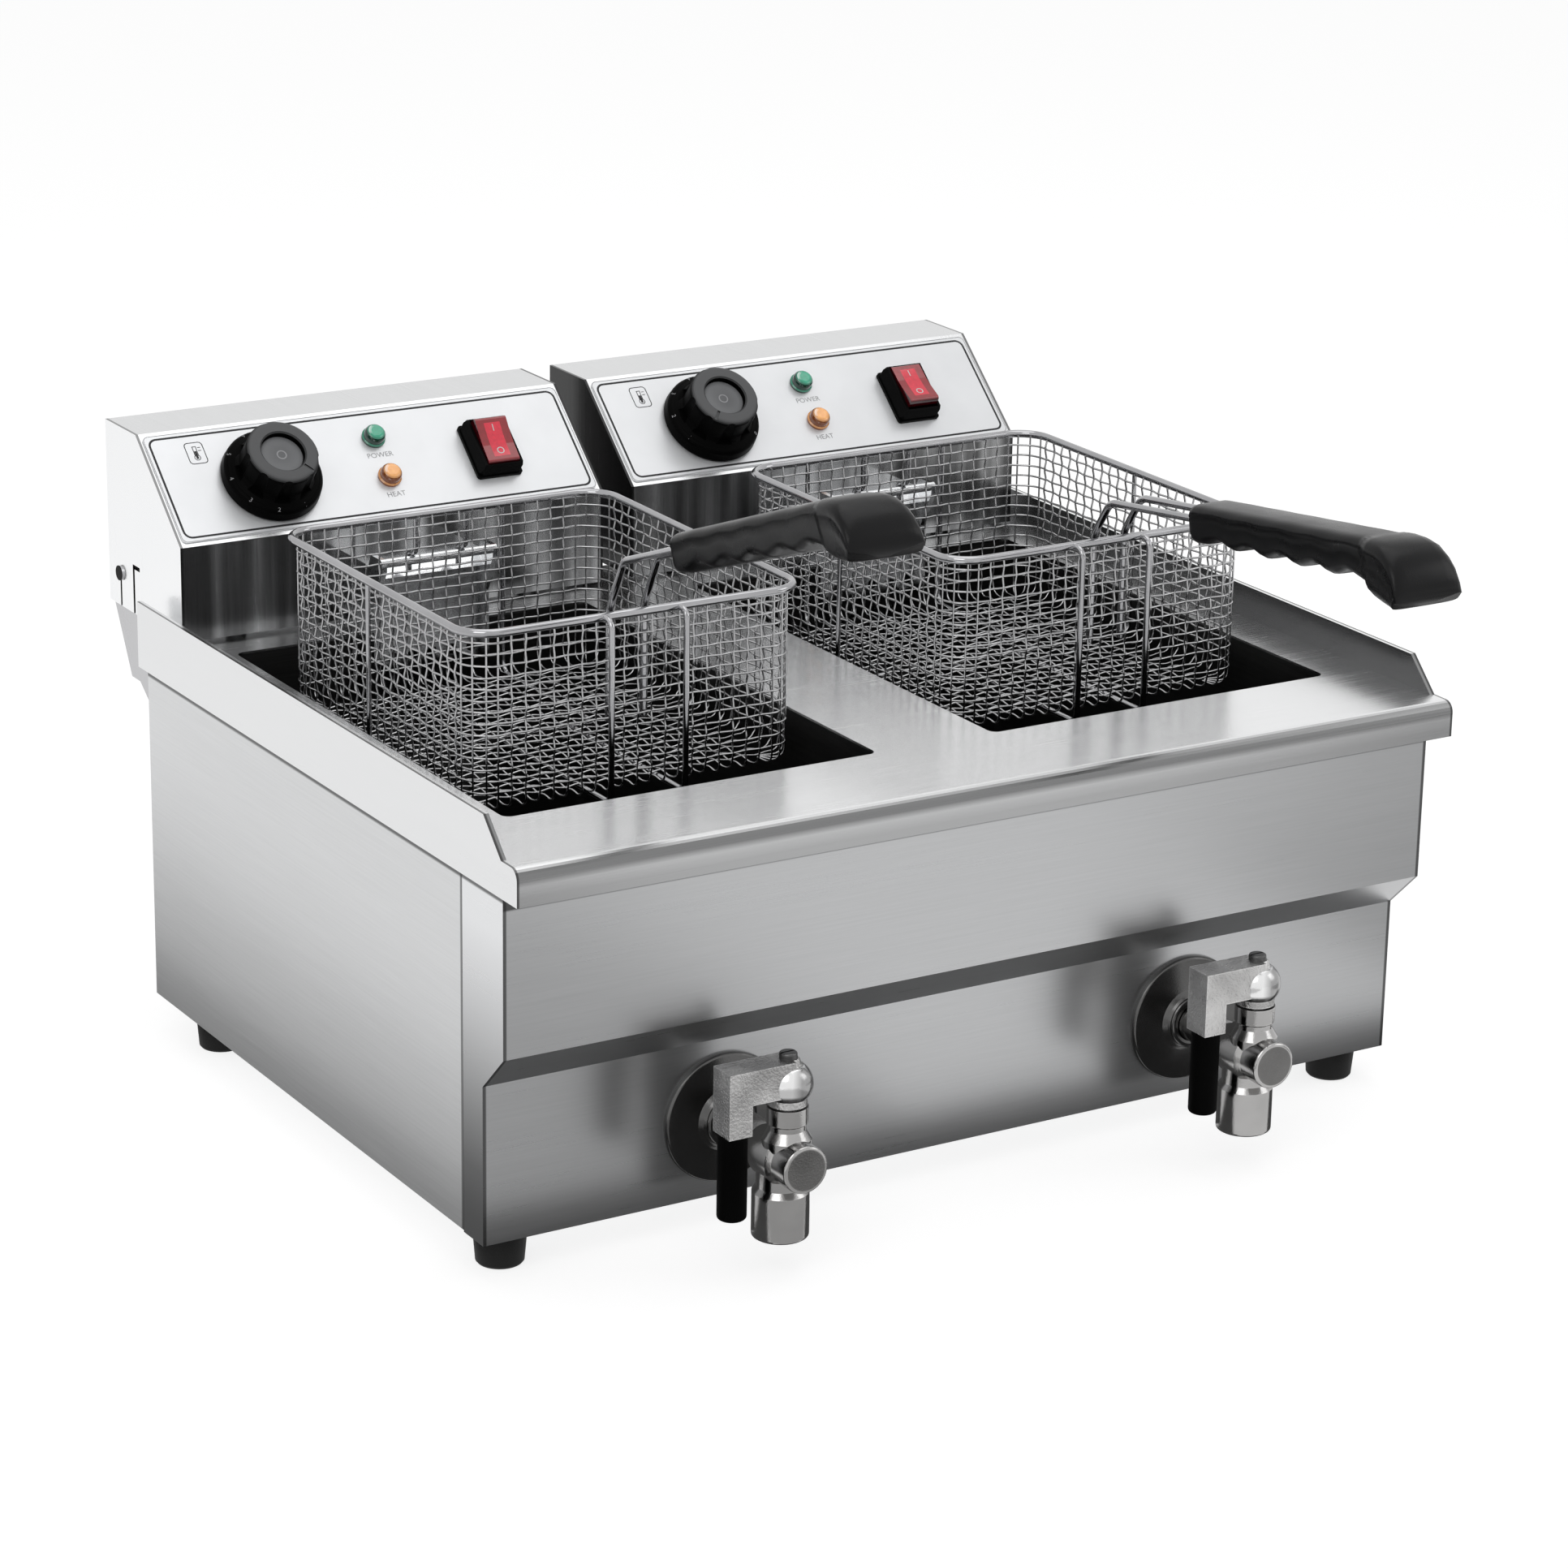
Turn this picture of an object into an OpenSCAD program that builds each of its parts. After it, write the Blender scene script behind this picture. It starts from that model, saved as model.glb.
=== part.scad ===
// Twin countertop deep fryer: two oil tanks in one cabinet, a tilting control head
// and a hanging wire basket over each tank, and a drain tap at the front of each tank.
// Sizes below are measured from the deck surface (z = 0 is the deck, y = 0 is mid-deck);
// in_frame() moves the whole machine so that it stands on z = 0 around its own centre.

/* [Cabinet] */
// Width over the deck tray
tray_w = 560; // [540:5:600]
// Height of the deck surface above the table
deck_h = 228; // [222:1:250]
// Front edge of the deck tray
tray_front = 240; // [236:1:250]
// Back edge of the deck tray
tray_back = 200; // [198:1:202]
// Height of the side upstands above the deck
upstand_h = 18; // [12:1:22]
// Depth of the rolled lip below the deck
lip_h = 19; // [14:1:24]
// Width of the cabinet under the tray
cabinet_w = 556; // [536:1:560]
// Upper front panel, distance forward of mid-deck
panel_upper_y = 222; // [216:1:228]
// Lower front panel, distance forward of mid-deck
panel_lower_y = 200.5; // [196:0.5:206]
// Top of the slope between the two front faces, below the deck
slope_top = 103; // [95:1:108]
// Bottom of the slope, below the deck
slope_bottom = 124; // [116:1:130]
// Underside of the cabinet, below the deck
cabinet_depth = 208.5; // [200:0.5:214]
// Back face of the cabinet
cabinet_back = 193; // [190:1:196]
// Sheet thickness of the casings
sheet = 1.2; // [0.8:0.1:1.5]

/* [Tanks] */
// Tank centre, left and right of the middle
tank_x = 142; // [140:1:144]
// Tank opening width
tank_w = 214; // [208:1:218]
// Front edge of the tank opening
tank_front = 169; // [166:1:172]
// Back edge of the tank opening
tank_back = 141; // [139:1:143]
// Tank depth below the deck
tank_depth = 146; // [140:1:148]
// Corner radius of the tank opening
tank_r = 5; // [3:1:12]
// Height of the drain centre below the deck
drain_z = 166; // [164:1:168]

/* [Control heads] */
// Head centre, left and right of the middle
head_x = 139; // [138:0.5:140]
// Width of a head
head_w = 259.5; // [256:0.5:262]
// Front wall of the head
head_front = 165.5; // [164:0.5:167]
// Back of the head
head_back = 263; // [261:1:265]
// Height of the head above the deck
head_top = 105; // [103:1:107]
// Where the control face starts to slope
face_low_z = 55; // [53:1:57]
// Where the control face meets the top
face_high_y = 222; // [220:1:224]
// Pivot pin position, behind mid-deck
pivot_y = 247; // [245:1:249]
// Pivot pin height above the deck
pivot_z = 21; // [20:0.5:22]
// Pivot pin diameter
pivot_d = 8; // [6:0.5:9]

/* [Controls] */
// Knob, across the panel from the head centre
knob_x = -64; // [-68:1:-60]
// Knob skirt diameter
knob_d = 57; // [50:1:60]
// Knob height
knob_h = 28; // [24:1:30]
// Pointer of the left knob, turned from straight down
pointer_left = 40; // [-140:5:140]
// Pointer of the right knob, turned from straight down
pointer_right = -40; // [-140:5:140]
// Lamps, across the panel from the head centre
lamp_x = 5.5; // [0:0.5:10]
// Lamp lens diameter
lamp_d = 12; // [10:0.5:14]
// Switch, across the panel from the head centre
switch_x = 71; // [68:1:76]
// Rocker tilt at rest
rocker_tilt = 8; // [6:1:9]

/* [Baskets] */
// Basket width
basket_w = 193; // [184:1:198]
// Basket length
basket_l = 216; // [206:1:220]
// Centre of the basket, ahead of mid-deck
basket_y = -5; // [-7:1:-3]
// Rim wire centre above the deck while draining
rim_z = 75; // [73:1:78]
// Rim to floor
basket_d = 97; // [90:1:100]
// Corner radius of the basket
basket_r = 18; // [14:1:22]
// Mesh pitch
mesh_pitch = 8.5; // [8:0.5:16]
// Mesh wire diameter
mesh_d = 1.2; // [1:0.1:1.6]
// Rim wire diameter
rim_d = 4.4; // [4:0.1:5]
// Upward tilt of the left basket's handle
handle_tilt_left = 20; // [8:1:22]
// Upward tilt of the right basket's handle
handle_tilt_right = 7; // [6:1:22]

/* [Drain taps] */
// Stem of the tap, ahead of mid-deck
tap_y = 262; // [260:1:264]
// Wall flange diameter
flange_d = 69; // [60:1:74]
// Spout outside diameter
spout_d = 29; // [26:1:30]
// Bore of the spout
spout_bore = 22; // [18:1:23]
// Lever reach from the stem
lever_reach = 31; // [31:0.5:34]

/* [Feet] */
// Foot diameter at the top
foot_d = 28; // [24:1:32]
// Foot centres, left and right of the middle
foot_x = 258; // [250:1:262]

/* [Hidden] */
$fn = 48;
LEFT = -1;
RIGHT = 1;

// Colours of the finishes
STEEL = [0.78, 0.79, 0.80];
DARK_STEEL = [0.55, 0.56, 0.58];
CHROME = [0.85, 0.86, 0.88];
PLASTIC = [0.07, 0.07, 0.07];
RUBBER = [0.10, 0.10, 0.10];
CERAMIC = [0.88, 0.86, 0.80];

gland_out = 12;

// Control face: slope and length
face_angle = atan2(head_top - face_low_z, face_high_y - head_front);
face_length = norm([head_top - face_low_z, face_high_y - head_front]);
control_s = face_length * 0.47;
lamp_spread = 13.3;

// Clearances: running fits, and air between bodies
fit = 0.05;
air = 0.3;

module in_frame() {
  translate([0, frame_shift, deck_h]) children();
}

// ---------- shared shapes ----------

// A 2D outline drawn as (y, z), extruded along X about x = 0
module along_x(w) {
  rotate([90, 0, 90]) linear_extrude(height = w, center = true) children();
}

// A bar with rounded vertical edges, its middle at the origin and its base at z = 0
module rounded_slab(w, l, h, r) {
  translate([-w / 2 + r, -l / 2, 0]) cube([w - 2 * r, l, h]);
  translate([-w / 2, -l / 2 + r, 0]) cube([w, l - 2 * r, h]);
  for (x = [-1, 1], y = [-1, 1])
    translate([x * (w / 2 - r), y * (l / 2 - r), 0]) cylinder(h = h, r = r);
}

// Points of a circular arc
function arc(c, r, from, to, n = 6) =
  [for (i = [0:n]) c + r * [cos(from + (to - from) * i / n), sin(from + (to - from) * i / n)]];

function unit(v) = v / norm(v);
function left_of(v) = [-v.y, v.x];

// Corner offset of a folded sheet at point i of an open path
function fold_offset(p, i, t) =
  let (
    last = len(p) - 1,
    a = left_of(unit(i == 0 ? p[1] - p[0] : p[i] - p[i - 1])),
    b = left_of(unit(i == last ? p[last] - p[last - 1] : p[i + 1] - p[i]))
  )
  (a + b) * t / (1 + a * b);

// Closed outline of a sheet of thickness t folded along an open path, thickened to its left
function folded(p, t) =
  concat(p, [for (i = [len(p) - 1:-1:0]) p[i] + fold_offset(p, i, t)]);

// One elbow of round bar: from direction u to direction v about corner p
module elbow(p, u, v, r, d) {
  turn = acos(max(-1, min(1, u * v)));
  inward = unit(v - u * (u * v));
  start = p - u * r * tan(turn / 2);
  centre = start + inward * r;
  out = -inward;
  up = cross(out, u);
  multmatrix([
    [out.x, u.x, up.x, centre.x],
    [out.y, u.y, up.y, centre.y],
    [out.z, u.z, up.z, centre.z],
    [0, 0, 0, 1],
  ])
    rotate_extrude(angle = turn) translate([r, 0]) circle(d = d);
}

// A straight piece of round bar between two points
module straight(a, b, d) {
  v = b - a;
  tilt = acos(v.z / norm(v));
  translate(a) rotate([0, tilt, atan2(v.y, v.x)]) cylinder(h = norm(v), d = d);
}

function bend_cut(p, i, r) =
  i <= 0 || i >= len(p) - 1
  ? 0
  : r * tan(acos(max(-1, min(1, unit(p[i] - p[i - 1]) * unit(p[i + 1] - p[i])))) / 2);

// Round bar bent along the points p with bend radius r
module bent_bar(p, r, d) {
  for (i = [0:len(p) - 2]) {
    u = unit(p[i + 1] - p[i]);
    straight(p[i] + u * bend_cut(p, i, r), p[i + 1] - u * bend_cut(p, i + 1, r), d);
  }
  for (i = [1:len(p) - 2])
    elbow(p[i], unit(p[i] - p[i - 1]), unit(p[i + 1] - p[i]), r, d);
}

// A level hoop of round bar with rounded corners
module hoop(w, l, r, d) {
  for (s = [-1, 1]) {
    straight([-w / 2 + r, s * l / 2, 0], [w / 2 - r, s * l / 2, 0], d);
    straight([s * w / 2, -l / 2 + r, 0], [s * w / 2, l / 2 - r, 0], d);
  }
  for (q = [0:3])
    rotate([0, 0, 90 * q])
      translate((q % 2 == 0) ? [w / 2 - r, l / 2 - r, 0] : [l / 2 - r, w / 2 - r, 0])
        rotate_extrude(angle = 90) translate([r, 0]) circle(d = d);
}

// ---------- cabinet ----------

hem = 3;
roll_r = 6;
skin_x = tray_w / 2;
side_outline = concat(
  [[-tray_front, -lip_h]],
  arc([-tray_front + roll_r, -roll_r], roll_r, 180, 90),
  [[-tray_front + 16, 0], [-tray_front + 16 + upstand_h, upstand_h], [tray_back, upstand_h],
   [tray_back, -lip_h]]
);
front_roll = concat(
  [[-tray_front + 9, -lip_h], [-tray_front, -lip_h]],
  arc([-tray_front + roll_r, -roll_r], roll_r, 180, 90),
  [[-tray_front + 16, 0]]
);

module deck_plate() {
  difference() {
    translate([-skin_x + sheet, -tray_front + 16, -sheet])
      cube([tray_w - 2 * sheet, tray_front + tray_back - 16, sheet]);
    for (s = [LEFT, RIGHT])
      translate([s * tank_x, (tank_back - tank_front) / 2, -sheet - 1])
        rounded_slab(tank_w, tank_front + tank_back, sheet + 2, tank_r);
  }
}

module upstand_hem() {
  along_x(hem)
    polygon([[-tray_front + 16, 0], [-tray_front + 16 + upstand_h, upstand_h],
             [tray_back, upstand_h], [tray_back, 0]]);
}

module deck_tray() color(STEEL) in_frame() {
  deck_plate();
  along_x(tray_w - 2 * sheet) polygon(folded([for (i = [len(front_roll) - 1:-1:0]) front_roll[i]], sheet));
  translate([0, tray_back - sheet / 2, -lip_h / 2 - sheet / 2])
    cube([tray_w - 2 * sheet, sheet, lip_h - sheet], center = true);
  for (s = [-1, 1]) {
    translate([s * (skin_x - sheet / 2), 0, 0]) along_x(sheet) polygon(side_outline);
    translate([s * (skin_x - hem / 2), 0, 0]) upstand_hem();
  }
}

wall = 1;
panel_top = -sheet;
return_y = -180;
front_profile = [
  [-panel_upper_y + 12, panel_top], [-panel_upper_y, panel_top], [-panel_upper_y, -slope_top],
  [-panel_lower_y, -slope_bottom], [-panel_lower_y, -cabinet_depth], [return_y, -cabinet_depth],
];

module front_panel() color(STEEL) in_frame() {
  difference() {
    union() {
      along_x(cabinet_w) polygon(folded(front_profile, wall));
      for (s = [-1, 1])
        translate([s * (cabinet_w / 2 - wall / 2), 0, 0])
          along_x(wall)
            polygon([[-panel_upper_y, panel_top], [-panel_upper_y, -slope_top],
                     [-panel_lower_y, -slope_bottom], [-panel_lower_y, -cabinet_depth],
                     [return_y, -cabinet_depth], [return_y, panel_top]]);
    }
    for (s = [LEFT, RIGHT])
      translate([s * tank_x, -panel_lower_y - 5, -drain_z]) rotate([-90, 0, 0]) cylinder(h = 20, d = 24);
  }
}

flange = 12;
seam = 0.3;
module side_panel(side) color(STEEL) in_frame() {
  panel_l = cabinet_back - return_y - wall - seam;
  panel_h = cabinet_depth - wall - sheet;
  mirror([side < 0 ? 1 : 0, 0, 0])
    translate([cabinet_w / 2, return_y + seam, -cabinet_depth + wall]) {
      translate([-wall, 0, 0]) cube([wall, panel_l, panel_h]);
      translate([-flange, 0, 0]) cube([flange, panel_l, wall]);
      translate([-flange, 0, panel_h - wall]) cube([flange, panel_l, wall]);
    }
}

module back_panel() color(STEEL) in_frame() {
  difference() {
    translate([-cabinet_w / 2 + wall, cabinet_back - wall, -cabinet_depth + wall])
      cube([cabinet_w - 2 * wall, wall, cabinet_depth - wall - sheet]);
    for (s = [LEFT, RIGHT], i = [-4:4])
      translate([s * tank_x + i * 16, cabinet_back - 3 * wall, -cabinet_depth + 40])
        rotate([-90, 0, 0]) rounded_slab(5, 36, 5, 2.49);
  }
}

module base_plate() color(DARK_STEEL) in_frame() {
  difference() {
    translate([-cabinet_w / 2 + wall, return_y, -cabinet_depth])
      cube([cabinet_w - 2 * wall, cabinet_back - return_y, wall]);
    for (s = [LEFT, RIGHT], i = [-3:3], j = [-2:2])
      translate([s * tank_x + i * 24, j * 30, -cabinet_depth - 1]) cylinder(h = 3, d = 10);
  }
}

foot_h = deck_h - cabinet_depth;
module feet() color(RUBBER) in_frame() {
  for (x = [-foot_x, foot_x], y = [-180, 150])
    translate([x, y, -deck_h])
      rotate_extrude()
        polygon([[4.5, 0], [foot_d / 2 - 2.6, 0], [foot_d / 2 - 1.6, 1.2], [foot_d / 2, foot_h],
                 [2.4, foot_h], [2.4, foot_h - 4], [4.5, foot_h - 4]]);
}

bracket_t = 2;
bracket_gap = 0.5;
head_side = head_w / 2;
bracket_in = wall + bracket_gap;
pin_proud = 1.2;
module hinge_bracket(side, end) {
  // end is -1 for the bracket at the left of a head and 1 for the one at its right
  x0 = head_side - bracket_in - bracket_t;
  translate([side * head_x, 0, 0]) mirror([end < 0 ? 1 : 0, 0, 0]) {
    translate([x0 + bracket_t / 2, 0, 0])
      along_x(bracket_t)
        polygon(concat(
          [[cabinet_back, -52], [cabinet_back + 14, -52], [228, -37], [239, -37], [262, 5]],
          arc([pivot_y, pivot_z], 15, 0, 90, 8),
          [[cabinet_back + 40, pivot_z + 12], [228, 2], [cabinet_back + 16, -21], [cabinet_back, -21]]
        ));
    translate([x0, pivot_y, pivot_z]) rotate([0, 90, 0])
      cylinder(h = bracket_t + bracket_in + pin_proud, d = pivot_d);
    // mounting foot, flat on the back panel
    translate([x0 - 18, cabinet_back, -52]) cube([18 + bracket_t, 2, 31]);
  }
}

module hinge_brackets() color(DARK_STEEL) in_frame() {
  for (s = [LEFT, RIGHT], e = [-1, 1]) hinge_bracket(s, e);
}

// ---------- tanks ----------

stub_d = 20;
stub_bore = 16;
stub_y = -150;
module tank(side) color(STEEL) in_frame() translate([side * tank_x, 0, 0]) {
  l = tank_front + tank_back;
  y0 = (tank_back - tank_front) / 2;
  difference() {
    union() {
      translate([0, y0, -tank_depth - wall])
        rounded_slab(tank_w + 2 * wall, l + 2 * wall, tank_depth + wall - sheet, tank_r + wall);
      translate([0, y0, -sheet - wall]) rounded_slab(tank_w + 18, l + 18, wall, tank_r + 9);
      translate([0, stub_y, -drain_z - stub_d / 2])
        cylinder(h = drain_z - tank_depth + stub_d / 2, d = stub_d);
      translate([0, stub_y, -drain_z]) rotate([90, 0, 0])
        cylinder(h = panel_lower_y - 3 + stub_y, d = stub_d);
    }
    translate([0, y0, -tank_depth]) rounded_slab(tank_w, l, tank_depth + 5, tank_r);
    translate([0, stub_y, -drain_z]) cylinder(h = drain_z, d = stub_bore);
    translate([0, stub_y, -drain_z]) rotate([90, 0, 0]) cylinder(h = 80, d = stub_bore);
    translate([0, stub_y, -drain_z]) sphere(d = stub_bore);
  }
}

// ---------- drain taps ----------

tap_axis_d = 25;
ball_d = 18;
neck_h = 28;
spout_y = tap_y - 5;
stub_tail_front = panel_lower_y + 2;
module tap_place(side) {
  in_frame() translate([side * tank_x, 0, -drain_z]) children();
}

module tap_flange(side) color(CHROME) tap_place(side) {
  translate([0, -panel_lower_y, 0]) rotate([90, 0, 0])
    rotate_extrude()
      polygon(concat([[10.5, 0], [flange_d / 2, 0]], arc([flange_d / 2 - 2, 1.2], 2, 0, 70, 5),
                     [[17, 4.6], [15, 6.4]], arc([12, 7.5], 2, 0, 90, 4), [[10.5, 9.5]]));
}

module tap_body(side) color(CHROME) tap_place(side) {
  difference() {
    union() {
      // inlet tail, passing through the flange into the tank's stub
      translate([0, -stub_tail_front, 0]) rotate([90, 0, 0])
        cylinder(h = tap_y - stub_tail_front - 8, d = 20);
      translate([0, -(panel_lower_y - 16), 0]) rotate([90, 0, 0])
        cylinder(h = 20, d = stub_bore - 2 * fit);
      // barrel
      translate([0, -(tap_y - 16), 0]) rotate([90, 0, 0])
        rotate_extrude()
          polygon(concat([[0, 0], [12, 0], [14.5, 2.5], [14.5, 19], [tap_axis_d / 2, 22],
                          [tap_axis_d / 2, 33.5]], arc([tap_axis_d / 2 - 1.5, 33.5], 1.5, 0, 90, 4), [[0, 35]]));
      // neck up to the lever
      translate([0, -tap_y, 0])
        rotate_extrude()
          polygon([[0, 0], [12.5, 0], [12.5, 11], [9.5, 16], [9.5, 18.5], [10.5, 19.5], [10.5, neck_h],
                   [0, neck_h]]);
      // spout
      translate([0, -spout_y, -43])
        rotate_extrude()
          polygon(concat([[0, 0], [spout_d / 2 - 1.5, 0]], arc([spout_d / 2 - 1.5, 1.5], 1.5, -90, 0, 4),
                         [[spout_d / 2, 24], [spout_d / 2 - 2, 27], [spout_d / 2 - 2, 43], [0, 43]]));
    }
    // waterway
    translate([0, -(panel_lower_y - 30), 0]) rotate([90, 0, 0]) cylinder(h = tap_y - panel_lower_y + 30, d = 11);
    translate([0, -tap_y, 0]) sphere(d = ball_d + 2 * air);
    translate([0, -tap_y, -32]) cylinder(h = 32, d = 10);
    translate([0, -spout_y, -44]) cylinder(h = 21, d = spout_bore);
    translate([0, -tap_y, 0]) cylinder(h = 60, d = 8 + 2 * fit);
  }
}
module tap_ball(side) color(CHROME) tap_place(side) translate([0, -tap_y, 0]) {
  difference() {
    union() {
      sphere(d = ball_d);
      cylinder(h = drain_z - 116, d = 8);
    }
    translate([0, 0, -ball_d]) cylinder(h = ball_d, d = 9);
    rotate([0, 90, 0]) cylinder(h = ball_d, d = 9);
  }
}

lever_z = drain_z - 131;
lever_top = drain_z - 113;
module tap_lever(side) color(CHROME) tap_place(side) translate([0, -tap_y, 0]) {
  difference() {
    union() {
      translate([0, 0, drain_z - 137])
        rotate_extrude()
          polygon(concat([[0, 0], [10, 0]], arc([1.5, 11], 11.2, -42, 62, 10),
                         [[5.8, 23.4], [5.2, 24], [0, 24]]));
      translate([-lever_reach - 6.5, -8, lever_z]) cube([lever_reach + 6.5, 16, lever_top - lever_z]);
      translate([-lever_reach - 6.5, -8, drain_z - 147]) cube([13, 16, lever_z - drain_z + 148]);
      translate([-lever_reach, 0, drain_z - 188]) cylinder(h = 42, d = 7);
    }
    translate([0, 0, 10]) cylinder(h = drain_z - 115.9 - 10, d = 8 + 0.02);
  }
}

module tap_grip(side) color(PLASTIC) tap_place(side) translate([-lever_reach, -tap_y, drain_z - 192]) {
  difference() {
    rotate_extrude()
      polygon(concat([[0, 0], [5.5, 0]], arc([5.5, 2], 2, -90, 0, 4), [[7.5, 43.5], [7, 44.8], [0, 44.8]]));
    translate([0, 0, 4]) cylinder(h = 50, d = 7);
  }
}

module tap_screw(side) color(DARK_STEEL) tap_place(side) translate([0, -tap_y, lever_top]) {
  difference() {
    rotate_extrude() polygon(concat([[0, 0], [4.6, 0]], arc([3.4, 2], 1.2, 0, 90, 4), [[0, 3.2]]));
    translate([-6, -0.6, 2.4]) cube([12, 1.2, 2]);
  }
}

// ---------- control heads ----------

head_base = 2;
module head_place(side) {
  in_frame() translate([side * head_x, 0, 0]) children();
}

// x is across the panel from the head centre, s is up the slope from its lower edge
module on_face(x, s) {
  translate([x, head_front, face_low_z]) rotate([face_angle, 0, 0]) translate([0, s, 0]) children();
}

head_outline = [[head_front, head_base], [head_front, face_low_z], [face_high_y, head_top],
                [head_back, head_top], [head_back, head_base]];
head_profile = [[head_front, head_base], [head_front, face_low_z], [face_high_y, head_top],
                [head_back, head_top], [head_back, head_top - 10]];

plate_t = 0.8;
switch_w = 28;
switch_l = 36;
module control_cutouts(h) {
  on_face(knob_x, control_s) translate([0, 0, -h / 2]) cylinder(h = h, d = 11);
  for (k = [-1, 1])
    on_face(lamp_x, control_s + 5 + k * lamp_spread) translate([0, 0, -h / 2]) cylinder(h = h, d = lamp_body_d);
  on_face(switch_x, control_s) translate([-switch_body_w / 2, -switch_body_l / 2, -h / 2])
    cube([switch_body_w, switch_body_l, h]);
}
lamp_body_d = 10;
switch_body_w = 24;
switch_body_l = 32;

guard_w = 70;
module head_housing(side) color(STEEL) head_place(side) {
  difference() {
    union() {
      along_x(head_w) polygon(folded([for (i = [len(head_profile) - 1:-1:0]) head_profile[i]], wall));
      for (s = [-1, 1])
        translate([s * (head_w / 2 - wall / 2), 0, 0])
          difference() {
            along_x(wall) polygon(head_outline);
            translate([0, pivot_y, pivot_z]) rotate([0, 90, 0])
              cylinder(h = 5, d = pivot_d + 2 * fit, center = true);
            // lift-out slot below the pin and the hooked slot ahead of it
            translate([-3, pivot_y - 1, 0]) cube([6, 2, pivot_z]);
            translate([-3, 228, 0]) cube([6, 2.4, pivot_z + 9]);
            translate([-3, 221, pivot_z + 6.6]) cube([6, 9.4, 2.4]);
          }
      // floor, narrower than the head so that the brackets pass beside it
      translate([0, (head_front + head_back) / 2, head_base + wall / 2])
        cube([head_w - 14, head_back - head_front - 3, wall], center = true);
      for (x = [-90, 90])
        translate([x, 184, air]) cylinder(h = head_base - air, d = 12);
    }
    control_cutouts(10);
    // way through the front wall for the element ends and bulbs
    translate([side * (tank_x - head_x) - 26, head_front - 4, 16]) cube([52, 8, 22]);
  }
}

module head_cover(side) color(DARK_STEEL) head_place(side) {
  cover_w = head_w - 14;
  difference() {
    translate([-cover_w / 2, head_back - wall, head_base + wall])
      cube([cover_w, wall, head_top - 10 - head_base - wall]);
    translate([gland_x, head_back - 5, gland_z]) rotate([-90, 0, 0]) cylinder(h = 10, d = 16);
    for (i = [-5:5])
      translate([40 + i * 10, head_back - 3, 66]) rotate([-90, 0, 0]) rounded_slab(4, 26, 6, 1.99);
  }
}
gland_x = -70;
gland_z = 36;

module control_plate(side) color([0.9, 0.91, 0.92]) head_place(side) {
  difference() {
    on_face(0, face_length / 2) rounded_slab(head_w - 5, face_length - 5, plate_t, 3);
    control_cutouts(10);
  }
}

flutes = 9;
knob_recess = 5.2;
grip_d = 43;
shaft_d = 6;
module knob(side) color(PLASTIC) head_place(side) on_face(knob_x, control_s)
  rotate([0, 0, side < 0 ? pointer_left : pointer_right]) {
  base = plate_t + 0.5;
  difference() {
    union() {
      rotate_extrude()
        polygon(concat([[0, base], [knob_d / 2 - 0.6, base], [knob_d / 2, base + 1.4]],
                       arc([knob_d / 2 - 4, base + 5.4], 3.6, 0, 80, 5),
                       [[grip_d / 2 + 1, base + 10.4], [grip_d / 2 - 0.4, base + 13]],
                       arc([grip_d / 2 - 3.8, knob_h - 3], 3, 0, 90, 6),
                       [[13.2, knob_h], [12.4, knob_h - 0.8], [12.4, knob_h - knob_recess],
                        [0, knob_h - knob_recess]]));
      // grey centre insert
      translate([0, 0, knob_h - knob_recess - 0.4]) cylinder(h = 1.8, d = 24);
      translate([0, 0, -14]) cylinder(h = 16, d = shaft_d);
    }
    for (i = [0:flutes - 1])
      rotate([0, 0, (i + 0.5) * 360 / flutes])
        translate([grip_d / 2 + 4.2, 0, base + 10]) cylinder(h = knob_h, r = 6);
    // pointer groove in the top ring
    translate([-0.8, -grip_d / 2 - 1, knob_h - 0.8]) cube([1.6, 9, 2]);
  }
}

module lamp(side, k, tint) color(tint) head_place(side) on_face(lamp_x, control_s + 5 + k * lamp_spread) {
  translate([0, 0, plate_t])
    rotate_extrude()
      polygon(concat([[0, 0], [lamp_d / 2 + 0.8, 0], [lamp_d / 2 + 0.8, 1.2], [lamp_d / 2, 1.8], [lamp_d / 2, 4]],
                     arc([lamp_d / 2 - 3, 4], 3, 0, 90, 6), [[0, 7]]));
  translate([0, 0, -20]) cylinder(h = 20 + plate_t, d = lamp_body_d);
}

frame_h = 11.5;
rocker_pin_h = 6.5;
rocker_w = 19.4;
rocker_l = 28.6;
// Side shape of the collar round the rocker, narrowing to its top
module collar_outline(half) {
  polygon([[-half, plate_t], [half, plate_t], [half, 4], [half - 1.6, frame_h], [1.6 - half, frame_h], [-half, 4]]);
}

module switch_frame(side) color(PLASTIC) head_place(side) on_face(switch_x, control_s) {
  difference() {
    union() {
      translate([0, 0, plate_t]) rounded_slab(switch_w, switch_l, 1.8, 2);
      intersection() {
        translate([0, 0, plate_t]) rounded_slab(switch_w - 1.6, switch_l - 1.6, frame_h - plate_t, 3);
        along_x(switch_w) collar_outline(switch_l / 2 - 0.8);
        rotate([0, 0, 90]) along_x(switch_l) collar_outline(switch_w / 2 - 0.8);
      }
      translate([-switch_body_w / 2, -switch_body_l / 2, -22]) cube([switch_body_w, switch_body_l, 24]);
      for (x = [-1, 1], y = [-8, 0, 8])
        translate([x * 5 - 0.4, y - 3, -31]) cube([0.8, 6, 10]);
    }
    translate([-(rocker_w + 0.8) / 2, -15.6, -3]) cube([rocker_w + 0.8, 31.2, 30]);
    translate([0, 0, rocker_pin_h]) rotate([0, 90, 0]) cylinder(h = rocker_w + 3, d = 3 + 2 * fit, center = true);
  }
}

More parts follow.
